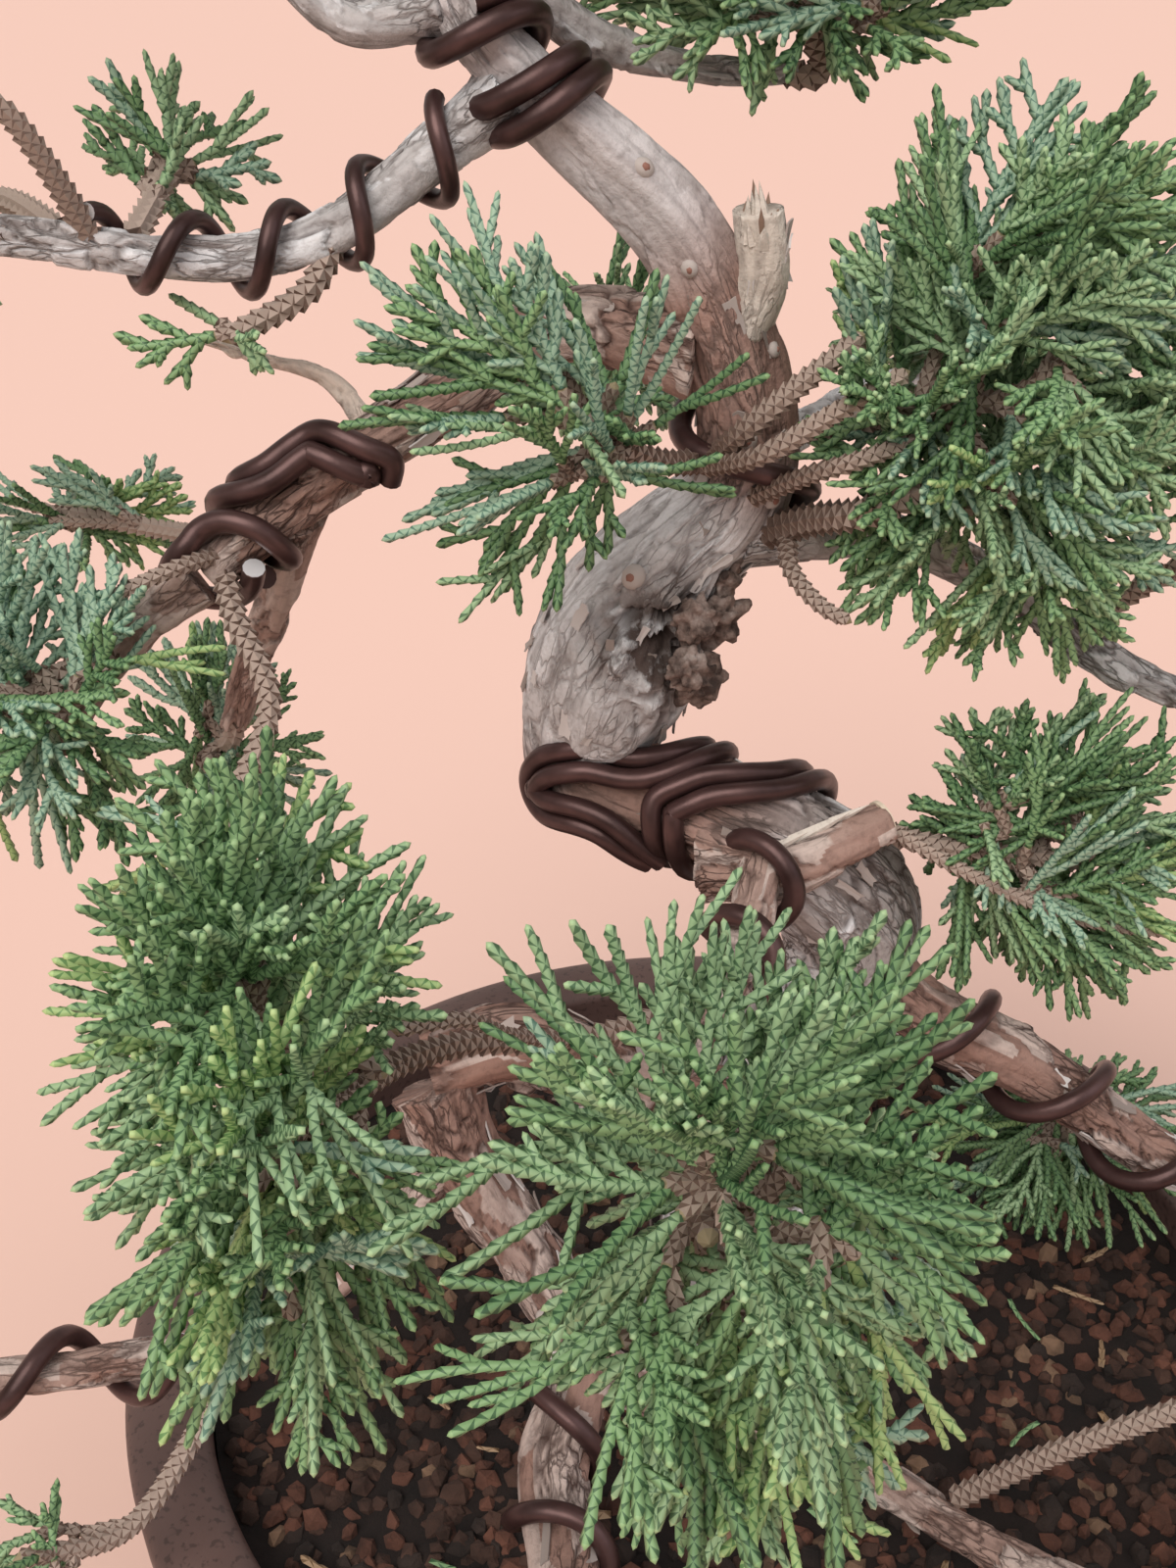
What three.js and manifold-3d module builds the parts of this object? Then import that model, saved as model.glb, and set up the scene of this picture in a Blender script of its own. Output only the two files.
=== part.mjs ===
// A wired juniper bonsai in a round clay pot, in millimetres, +Z up.
// The origin is the middle of the pot's flat underside.
import * as THREE from 'three';
import { mergeVertices } from 'three/addons/utils/BufferGeometryUtils.js';
import Module from 'manifold-3d';

const wasm = await Module();
wasm.setup();

// Driving dimensions of the pot and the soil
const RIM_RADIUS = 92;
const RIM_WIDTH = 12;
const RIM_DEPTH = 9;
const POT_HEIGHT = 66;
const FOOT_RADIUS = 58;
const FOOT_HEIGHT = 4;
const POT_WALL = 7;
const POT_SEGMENTS = 32;
const DRAIN_RADIUS = 5.5;
const DRAIN_RING = 30;
const DRAIN_COUNT = 3;
const SOIL_TOP = 60;
const SOIL_EDGE_DROP = 2.5;
const SOIL_FLAT_RADIUS = 27;
const PEBBLE_COUNT = 72;
const PEBBLE_FIELD_RADIUS = 75;
const PEBBLE_RADIUS = 3.6;
const PEBBLE_RISE = 1.7;
const PEBBLE_SINK = 1;
const PEBBLE_SIDES = 4;
const GOLDEN_ANGLE = Math.PI * (3 - Math.sqrt(5));
const ROOT_CLEARANCE = 25;
const SEAT_GAP = 0.3;

// Driving dimensions of the tree
const TRUNK_FOOT = 50;
const TRUNK_RUN = 290;
const TRUNK_BASE_RADIUS = 11.5;
const TRUNK_TIP_RADIUS = 2.2;
const TRUNK_TAPER_POWER = 1.3;
const FLARE_WIDTH = 6;
const FLARE_HEIGHT = 9;
const ROOT_LOBES = 5;
const ROOT_LOBE_DEPTH = 0.2;
const KNOT_SWELL = 4;
const KNOT_AT = 0.565;
const KNOT_SPREAD = 0.05;
const WAIST_DEPTH = 1.8;
const WAIST_AT = 0.44;
const WAIST_SPREAD = 0.03;
const HEAVY_WIRE_RADIUS = 1.65;
const LIGHT_WIRE_RADIUS = 1.2;
const WIRE_STEPS_PER_TURN = 8;
const WIRE_SIDES = 5;
const LAID_LIFT = 1.06;
const LAID_STEPS_PER_GUIDE = 1.15;
const LAID_LOOKS = 300;

// Driving dimensions of the foliage
const SPRAY_LENGTH = 22;
const SPRAY_WIDTH = 11;
const SPRAY_THICKNESS = 2.6;
const SPRAY_BELLY = 0.6;
const SPRAY_LEAN = 0.8;
const SPRAY_SPACING = 6.2;
const ROOT_SINK = 0.2;
const STEM_RADIUS = 1.6;
const STEM_TIP_RADIUS = 1.3;
const TWIG_RADIUS = 0.55;
const SPACE_MARGIN = 0.1;
const LIMB_MARGIN = 1;
const WIRED_MARGIN = 4.2;

const finishes = {
  clay: new THREE.MeshStandardMaterial({ color: 0x55433f, roughness: 0.55, metalness: 0 }),
  soil: new THREE.MeshStandardMaterial({ color: 0x4a2e25, roughness: 0.95, metalness: 0 }),
  bark: new THREE.MeshStandardMaterial({ color: 0x9a8780, roughness: 0.85, metalness: 0 }),
  deadwood: new THREE.MeshStandardMaterial({ color: 0xc9bfb4, roughness: 0.85, metalness: 0 }),
  wire: new THREE.MeshStandardMaterial({ color: 0x3d2b2c, roughness: 0.4, metalness: 0.5 }),
  foliage: new THREE.MeshStandardMaterial({ color: 0x4f7a55, roughness: 0.7, metalness: 0 }),
};

const bonsai = new THREE.Group();
const vec = (p) => new THREE.Vector3(p[0], p[1], p[2]);

// Solids are joined and cut as manifolds, then shown as meshes.
function toSolid(geometry) {
  const bare = geometry.clone();
  bare.deleteAttribute('normal');
  bare.deleteAttribute('uv');
  const welded = mergeVertices(bare, 1e-4);
  const vertProperties = new Float32Array(welded.attributes.position.array);
  const triVerts = new Uint32Array(welded.index.array);
  return new wasm.Manifold(new wasm.Mesh({ numProp: 3, vertProperties, triVerts }));
}

function largestPart(solid) {
  const parts = solid.decompose();
  return parts.reduce((best, part) => (part.volume() > best.volume() ? part : best));
}

function addNode(name, solid, material) {
  const mesh = solid.getMesh();
  const geometry = new THREE.BufferGeometry();
  geometry.setAttribute('position', new THREE.BufferAttribute(mesh.vertProperties, 3));
  geometry.setIndex(new THREE.BufferAttribute(mesh.triVerts, 1));
  geometry.computeVertexNormals();
  const node = new THREE.Mesh(geometry, material);
  node.name = name;
  bonsai.add(node);
}

// Seeded random numbers keep each mass the same on every build.
function seededRandom(seed) {
  let state = seed;
  return () => {
    state = (state + 0x6d2b79f5) | 0;
    let t = Math.imul(state ^ (state >>> 15), 1 | state);
    t = (t + Math.imul(t ^ (t >>> 7), 61 | t)) ^ t;
    return ((t ^ (t >>> 14)) >>> 0) / 4294967296;
  };
}

// A limb is a tapering round tube along a smooth route.
function makeLimb(spec) {
  const curve = new THREE.CatmullRomCurve3(spec.route.map(vec), false, 'centripetal');
  const length = curve.getLength();
  const steps = Math.max(4, Math.round(length / spec.step));
  const frames = curve.computeFrenetFrames(steps, false);
  const taper = (s) => THREE.MathUtils.lerp(spec.rootRadius, spec.tipRadius, s);
  const radiusAt = spec.radiusAt ?? taper;
  return { ...spec, curve, length, steps, frames, radiusAt };
}

function limbSolid(limb, grow) {
  const { curve, steps, sides, frames } = limb;
  const positions = [];
  for (let i = 0; i <= steps; i += 1) {
    const s = i / steps;
    const centre = curve.getPointAt(s);
    if (i === 0) centre.addScaledVector(frames.tangents[0], -grow);
    if (i === steps) centre.addScaledVector(frames.tangents[steps], grow);
    for (let j = 0; j < sides; j += 1) {
      const angle = (2 * Math.PI * j) / sides;
      const radius = limb.radiusAt(s, angle) + grow;
      const point = centre.clone();
      point.addScaledVector(frames.normals[i], Math.cos(angle) * radius);
      point.addScaledVector(frames.binormals[i], Math.sin(angle) * radius);
      positions.push(point.x, point.y, point.z);
    }
  }
  const index = [];
  for (let i = 0; i < steps; i += 1) {
    for (let j = 0; j < sides; j += 1) {
      const a = i * sides + j;
      const b = i * sides + ((j + 1) % sides);
      index.push(a, b, b + sides, a, b + sides, a + sides);
    }
  }
  const last = steps * sides;
  for (let j = 1; j < sides - 1; j += 1) {
    index.push(0, j + 1, j);
    index.push(last, last + j, last + j + 1);
  }
  const geometry = new THREE.BufferGeometry();
  geometry.setAttribute('position', new THREE.Float32BufferAttribute(positions, 3));
  geometry.setIndex(index);
  return toSolid(geometry);
}

// The pot is turned: a foot, a bowl that opens upward, and a rolled rim.
function potSolid() {
  const bowlTop = POT_HEIGHT - RIM_DEPTH;
  const neck = RIM_RADIUS - 5;
  const inner = RIM_RADIUS - RIM_WIDTH;
  const roll = RIM_WIDTH / 2;
  const profile = [new THREE.Vector2(0, 0), new THREE.Vector2(FOOT_RADIUS - 2, 0)];
  profile.push(new THREE.Vector2(FOOT_RADIUS - 1, FOOT_HEIGHT));
  const bowl = new THREE.QuadraticBezierCurve(
    new THREE.Vector2(FOOT_RADIUS + 3, FOOT_HEIGHT),
    new THREE.Vector2(neck, FOOT_HEIGHT + 14),
    new THREE.Vector2(neck, bowlTop),
  );
  profile.push(...bowl.getPoints(5));
  profile.push(new THREE.Vector2(RIM_RADIUS - 1, bowlTop + 1));
  for (let i = 0; i <= 4; i += 1) {
    const angle = (Math.PI * i) / 5;
    const x = inner + roll + Math.cos(angle) * roll;
    profile.push(new THREE.Vector2(x, POT_HEIGHT - 3 + Math.sin(angle) * 3));
  }
  profile.push(new THREE.Vector2(inner, POT_HEIGHT - 4));
  const well = new THREE.QuadraticBezierCurve(
    new THREE.Vector2(inner, bowlTop),
    new THREE.Vector2(neck - POT_WALL, FOOT_HEIGHT + 16),
    new THREE.Vector2(FOOT_RADIUS - 2, FOOT_HEIGHT + POT_WALL),
  );
  profile.push(...well.getPoints(3));
  profile.push(new THREE.Vector2(0, FOOT_HEIGHT + POT_WALL));
  const turned = new THREE.LatheGeometry(profile, POT_SEGMENTS);
  turned.rotateX(Math.PI / 2);
  let pot = toSolid(turned);
  for (let i = 0; i < DRAIN_COUNT; i += 1) {
    const angle = (2 * Math.PI * i) / DRAIN_COUNT + Math.PI / 6;
    const hole = new THREE.CylinderGeometry(DRAIN_RADIUS, DRAIN_RADIUS, 40, 12);
    hole.rotateX(Math.PI / 2);
    hole.translate(Math.cos(angle) * DRAIN_RING, Math.sin(angle) * DRAIN_RING, 5);
    pot = pot.subtract(toSolid(hole));
  }
  return pot;
}

function soilHeight(radius) {
  const slope = (radius - SOIL_FLAT_RADIUS) / (RIM_RADIUS - RIM_WIDTH - SOIL_FLAT_RADIUS);
  return SOIL_TOP - SOIL_EDGE_DROP * THREE.MathUtils.clamp(slope, 0, 1);
}

// The coarsest grains stand out of the soil, spread evenly on a spiral clear of the roots.
function pebbleSolids() {
  const pebbles = [];
  for (let i = 0; i < PEBBLE_COUNT; i += 1) {
    const radius = PEBBLE_FIELD_RADIUS * Math.sqrt((i + 0.5) / PEBBLE_COUNT);
    const turn = i * GOLDEN_ANGLE;
    if (radius < ROOT_CLEARANCE) continue;
    const height = PEBBLE_RISE + PEBBLE_SINK;
    const grain = new THREE.ConeGeometry(PEBBLE_RADIUS, height, PEBBLE_SIDES);
    grain.rotateX(Math.PI / 2);
    grain.rotateZ(turn * 2);
    const middle = soilHeight(radius) - PEBBLE_SINK + height / 2;
    grain.translate(Math.cos(turn) * radius, Math.sin(turn) * radius, middle);
    pebbles.push(toSolid(grain));
  }
  return pebbles;
}

// The soil fills the bowl, flat round the trunk and a little lower at the rim.
function soilSolid() {
  const neck = RIM_RADIUS - 5;
  const inner = RIM_RADIUS - RIM_WIDTH - SEAT_GAP;
  const well = new THREE.QuadraticBezierCurve(
    new THREE.Vector2(FOOT_RADIUS - 2 - SEAT_GAP, FOOT_HEIGHT + POT_WALL + SEAT_GAP),
    new THREE.Vector2(neck - POT_WALL - SEAT_GAP, FOOT_HEIGHT + 16),
    new THREE.Vector2(inner, POT_HEIGHT - RIM_DEPTH),
  );
  const profile = [new THREE.Vector2(0, FOOT_HEIGHT + POT_WALL + SEAT_GAP)];
  profile.push(...well.getPoints(3));
  profile.push(new THREE.Vector2(inner, SOIL_TOP - SOIL_EDGE_DROP));
  profile.push(new THREE.Vector2(SOIL_FLAT_RADIUS, SOIL_TOP));
  profile.push(new THREE.Vector2(0, SOIL_TOP));
  const turned = new THREE.LatheGeometry(profile, POT_SEGMENTS);
  turned.rotateX(Math.PI / 2);
  return pebbleSolids().reduce((bed, grain) => bed.add(grain), toSolid(turned));
}

// The trunk sweeps right, back to the left, right again, and over to its crown.
const trunk = makeLimb({
  name: 'trunk',
  route: [
    [3, 2, TRUNK_FOOT], [0, 0, 72], [3, -2, 95], [11, 0, 116], [15.6, 2, 132.7], [7.1, -3, 148.1],
    [-4.3, -3, 154.7], [-14.3, 2, 155.6], [-20.4, 6, 157.5], [-20.6, 7, 163.6], [-17.9, 4, 174.3],
    [-14.2, 2, 183.9], [-9.6, 1, 190.1], [-3.3, 2, 197.5], [-3.5, 2, 208], [-11.5, 1, 227],
    [-28.6, 0, 243], [-34.8, 2, 251], [-32, 4, 260], [-18, 4, 272],
  ],
  sides: 14,
  step: 6,
  radiusAt: trunkRadius,
});

function hump(s, middle, spread) {
  return Math.exp(-(((s - middle) / spread) ** 2));
}

function trunkRadius(s, angle = 0) {
  const taper = s ** TRUNK_TAPER_POWER * (TRUNK_BASE_RADIUS - TRUNK_TIP_RADIUS);
  const height = Math.max(0, s * TRUNK_RUN - (SOIL_TOP - TRUNK_FOOT));
  const flare = FLARE_WIDTH * Math.exp(-height / FLARE_HEIGHT);
  const lobes = 1 + ROOT_LOBE_DEPTH * Math.cos(ROOT_LOBES * angle) * Math.exp(-height / FLARE_HEIGHT);
  const knot = KNOT_SWELL * hump(s, KNOT_AT, KNOT_SPREAD);
  const waist = WAIST_DEPTH * hump(s, WAIST_AT, WAIST_SPREAD);
  return (TRUNK_BASE_RADIUS - taper + flare) * lobes + knot - waist;
}

function trunkSolid(grow) {
  const ground = new THREE.BoxGeometry(90, 90, 60);
  ground.translate(0, 0, SOIL_TOP + SEAT_GAP - grow - 30);
  return limbSolid(trunk, grow).subtract(toSolid(ground));
}

// Boughs: each leaves its host's middle line and is cut clear of the host's bark.
const boughSpecs = [
  { name: 'bough_left', host: 'trunk', wired: true, rootRadius: 4.6, tipRadius: 3.5,
    route: [[-7, 2, 214], [-25, 7, 215], [-37, 2, 209], [-55.6, -3, 198], [-66, -6, 190.5]] },
  { name: 'bough_left_outer', host: 'bough_left', wired: true, rootRadius: 2.6, tipRadius: 2,
    route: [[-65, -6, 191], [-72, -8, 186], [-79, -10, 179.5], [-84.5, -13, 170.5]] },
  { name: 'bough_left_rear', host: 'bough_left', wired: true, rootRadius: 3, tipRadius: 2,
    route: [[-55, -3, 198], [-60, 6, 183], [-67, 16, 167], [-71, 20, 156]] },
  { name: 'bough_upper_left', host: 'trunk', wired: true, rootRadius: 3, tipRadius: 1.8,
    route: [[-28, 0, 242.5], [-37.9, -2, 235.4], [-47.5, -4, 228.8], [-58, -5, 226],
      [-83.4, -6, 228.3]] },
  { name: 'bough_crown_left', host: 'trunk', wired: true, rootRadius: 2.6, tipRadius: 1.8,
    route: [[-34, 2, 250], [-46, 4, 248], [-54, 5, 254]] },
  { name: 'bough_crown_right', host: 'trunk', wired: false, rootRadius: 2.4, tipRadius: 1.6,
    route: [[-33, 4, 257], [-21, 10, 246], [-8, 14, 242], [2, 16, 241.5]] },
  { name: 'bough_crown_back', host: 'trunk', wired: false, rootRadius: 2, tipRadius: 1.5,
    route: [[-26, 4, 265], [-20, 22, 262], [-12, 38, 261]] },
  { name: 'bough_back', host: 'trunk', wired: true, rootRadius: 2.8, tipRadius: 1.9,
    route: [[-4, 2, 212], [-9, 22, 207], [-14, 46, 202]] },
  { name: 'bough_back_right', host: 'trunk', wired: true, rootRadius: 3, tipRadius: 1.9,
    route: [[-3.4, 2, 200], [10, 27, 198], [26, 52, 196]] },
  { name: 'bough_right', host: 'trunk', wired: true, rootRadius: 3.4, tipRadius: 2.3,
    route: [[-7, 1, 192], [6.4, 6, 190], [16, 10, 189], [31, 14, 181], [50, 12, 168], [64, 10, 163]] },
  { name: 'bough_right_back', host: 'bough_right', wired: false, rootRadius: 2, tipRadius: 1.6,
    route: [[61, 10.5, 164], [76, 32, 160], [88, 48, 154]] },
  { name: 'bough_right_low', host: 'trunk', wired: true, rootRadius: 5, tipRadius: 3.2,
    route: [[13, 1, 131], [23, -5, 125], [40, -6, 115.7], [62.8, -8, 99.5], [84, -9, 93]] },
  { name: 'bough_front', host: 'trunk', wired: true, rootRadius: 3.2, tipRadius: 2.3,
    route: [[5, 3, 152], [0, -13, 152], [-2.4, -22, 148.7], [-8, -40, 152], [-13, -58, 160]] },
  { name: 'bough_low_arch', host: 'trunk', wired: true, rootRadius: 6.4, tipRadius: 5.2,
    route: [[4, -2, 102], [-15, -8, 114], [-31, -12, 125], [-42.5, -15, 123]] },
  { name: 'bough_low_front', host: 'bough_low_arch', wired: true, rootRadius: 5, tipRadius: 3.3,
    route: [[-42, -15, 121.5], [-37, -20, 110], [-28.7, -25, 97.6], [-22.7, -31, 85], [-25.9, -42, 78],
      [-24.5, -55, 76.5], [-25, -78, 80], [-25, -98, 87]] },
  { name: 'bough_low_right', host: 'bough_low_front', wired: false, rootRadius: 3.3, tipRadius: 2.2,
    route: [[-22.7, -31, 84.5], [0, -33, 75], [13.6, -36, 71.5], [29.3, -50, 74], [45, -66, 82]] },
  { name: 'bough_low_left', host: 'bough_low_front', wired: true, rootRadius: 3.3, tipRadius: 2.4,
    route: [[-39, -18.5, 114], [-49, -20, 100], [-64.7, -30, 92], [-84.9, -38, 92.6], [-106, -42, 95]] },
  { name: 'stub_deadwood', host: 'trunk', wired: true, rootRadius: 3.1, tipRadius: 2.4,
    route: [[-5, 2, 216], [-2.6, -1, 223], [-3.4, -2, 230]] },
  { name: 'stub_cut', host: 'trunk', wired: false, rootRadius: 3.4, tipRadius: 2.8,
    route: [[3, 3, 152], [9, -3, 155], [16, -6, 156]] },
  { name: 'twig_bleached', host: 'bough_left', wired: false, rootRadius: 1.3, tipRadius: 0.7,
    route: [[-46, 0, 204], [-51, 0, 211], [-60, 0, 214], [-66, -2, 216.5]] },
];

const limbs = new Map([['trunk', trunk]]);
for (const spec of boughSpecs) {
  const sides = spec.rootRadius > 4 ? 8 : 6;
  const step = spec.rootRadius > 4 ? 9 : 8;
  limbs.set(spec.name, makeLimb({ sides, step, ...spec }));
}

// A cutter is a piece grown by the seat gap: what it is cut from stays clear of it.
const cutters = new Map([['trunk', trunkSolid(SEAT_GAP)]]);
for (const spec of boughSpecs) {
  cutters.set(spec.name, limbSolid(limbs.get(spec.name), SEAT_GAP));
}

function boxesMeet(a, b) {
  return [0, 1, 2].every((k) => a.min[k] < b.max[k] && b.min[k] < a.max[k]);
}

function cutClear(solid) {
  let left = solid;
  for (const cutter of cutters.values()) {
    const near = boxesMeet(left.boundingBox(), cutter.boundingBox());
    if (near && !left.intersect(cutter).isEmpty()) left = left.subtract(cutter);
  }
  return largestPart(left);
}

function boughSolid(limb) {
  return largestPart(limbSolid(limb, 0).subtract(cutters.get(limb.host)));
}

// Wires: aluminium coils, wound from the front of a limb, or from the side that it faces. A wire
// with guide points is laid on the bark along them instead, on the part of the limb that it holds.
const wireSpecs = [
  { name: 'wire_trunk_bend', host: 'trunk', from: 0.3, to: 0.49,
    guides: [[-19.9, -8, 155.7], [-23.9, -5, 153.5], [-28.4, -1, 152.9], [-31.8, 3, 155.4],
      [-30.3, 1, 161.4], [-25.7, -3, 165.9], [-20.2, -5, 167.6], [-14.7, -5, 166.6],
      [-6, 2, 165.5], [-5, 7.5, 158], [-5.5, 4, 146], [-13.8, -9, 156], [-15.2, -12, 162.8],
      [-13.2, -12, 167.3], [-8.2, -9, 168.1], [-2, -7, 166.6], [3.4, -4, 162.4], [8, 6, 152],
      [5, 4, 143]] },
  { name: 'wire_trunk_upper', host: 'trunk', from: 0.66, to: 0.7, turns: 0.75, angle: 2.2 },
  { name: 'wire_trunk_elbow', host: 'trunk', from: 0.83, to: 0.915, turns: 2.6, angle: 3 },
  { name: 'wire_left', host: 'bough_left', from: 0.4, to: 0.999,
    guides: [[-44, -5, 200.7], [-43.9, -5, 203.7], [-47.7, -4, 204.6], [-51.9, -3, 205],
      [-55.9, -4, 204.8], [-59, -5, 203.4], [-62, -3, 200.5], [-62.5, 2, 195], [-59, 1.5, 188.5],
      [-55.5, -3, 188], [-56.3, -7, 193.1], [-59, -9, 196.6], [-62.5, -8, 196.9],
      [-65.6, -8, 195.8], [-67.3, -9, 193.9], [-70, -3, 184], [-64, -3, 183], [-59.9, -9, 192]] },
  { name: 'wire_upper_left', host: 'bough_upper_left', from: 0.14, to: 0.85, turns: 4, angle: 1.5,
    light: true },
  { name: 'wire_right_low', host: 'bough_right_low', from: 0.14, to: 0.9, turns: 3.2, angle: 1.6 },
  { name: 'wire_front', host: 'bough_front', from: 0.2, to: 0.5, turns: 1.6, angle: 3,
    facing: [1, 0, 0] },
  { name: 'wire_low_front', host: 'bough_low_front', from: 0.42, to: 0.75, turns: 2.4, angle: 3,
    facing: [1, 0, 0] },
  { name: 'wire_low_left', host: 'bough_low_left', from: 0.6, to: 0.96, turns: 1.6, angle: 1.2 },
];

function laidPoints(spec, host, radius) {
  const line = new THREE.CatmullRomCurve3(spec.guides.map(vec), false, 'centripetal');
  const steps = Math.round(spec.guides.length * LAID_STEPS_PER_GUIDE);
  const spine = [];
  for (let i = 0; i <= LAID_LOOKS; i += 1) {
    const s = THREE.MathUtils.lerp(spec.from, spec.to, i / LAID_LOOKS);
    const reach = (host.radiusAt(s) + SEAT_GAP + radius) * LAID_LIFT;
    spine.push({ axis: host.curve.getPointAt(s), reach });
  }
  return line.getSpacedPoints(steps).map((guide) => {
    const room = (post) => post.axis.distanceTo(guide) - post.reach;
    const nearest = spine.reduce((best, post) => (room(post) < room(best) ? post : best));
    const away = guide.clone().sub(nearest.axis).setLength(nearest.reach);
    return away.add(nearest.axis);
  });
}

function coilPoints(spec, host, radius) {
  const steps = Math.ceil(spec.turns * WIRE_STEPS_PER_TURN);
  const facing = vec(spec.facing ?? [0, -1, 0]);
  const points = [];
  for (let i = 0; i <= steps; i += 1) {
    const along = i / steps;
    const s = THREE.MathUtils.lerp(spec.from, spec.to, along);
    const tangent = host.curve.getTangentAt(s);
    const side = tangent.clone().cross(facing).normalize();
    const front = side.clone().cross(tangent);
    const angle = spec.angle - along * spec.turns * 2 * Math.PI;
    const reach = (host.radiusAt(s) + SEAT_GAP + radius) / Math.cos(Math.PI / WIRE_STEPS_PER_TURN);
    const point = host.curve.getPointAt(s);
    point.addScaledVector(front, Math.cos(angle) * reach);
    point.addScaledVector(side, Math.sin(angle) * reach);
    points.push(point);
  }
  return points;
}

function wireSolid(spec, grow) {
  const host = limbs.get(spec.host);
  const radius = spec.light ? LIGHT_WIRE_RADIUS : HEAVY_WIRE_RADIUS;
  const points = spec.guides ? laidPoints(spec, host, radius) : coilPoints(spec, host, radius);
  const section = new THREE.Shape();
  for (let j = 0; j < WIRE_SIDES; j += 1) {
    const angle = (2 * Math.PI * j) / WIRE_SIDES;
    const corner = [Math.cos(angle) * (radius + grow), Math.sin(angle) * (radius + grow)];
    if (j) section.lineTo(...corner);
    else section.moveTo(...corner);
  }
  const extrudePath = new THREE.CatmullRomCurve3(points, false, 'centripetal');
  const steps = points.length - 1;
  return toSolid(new THREE.ExtrudeGeometry(section, { steps, extrudePath }));
}

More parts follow.
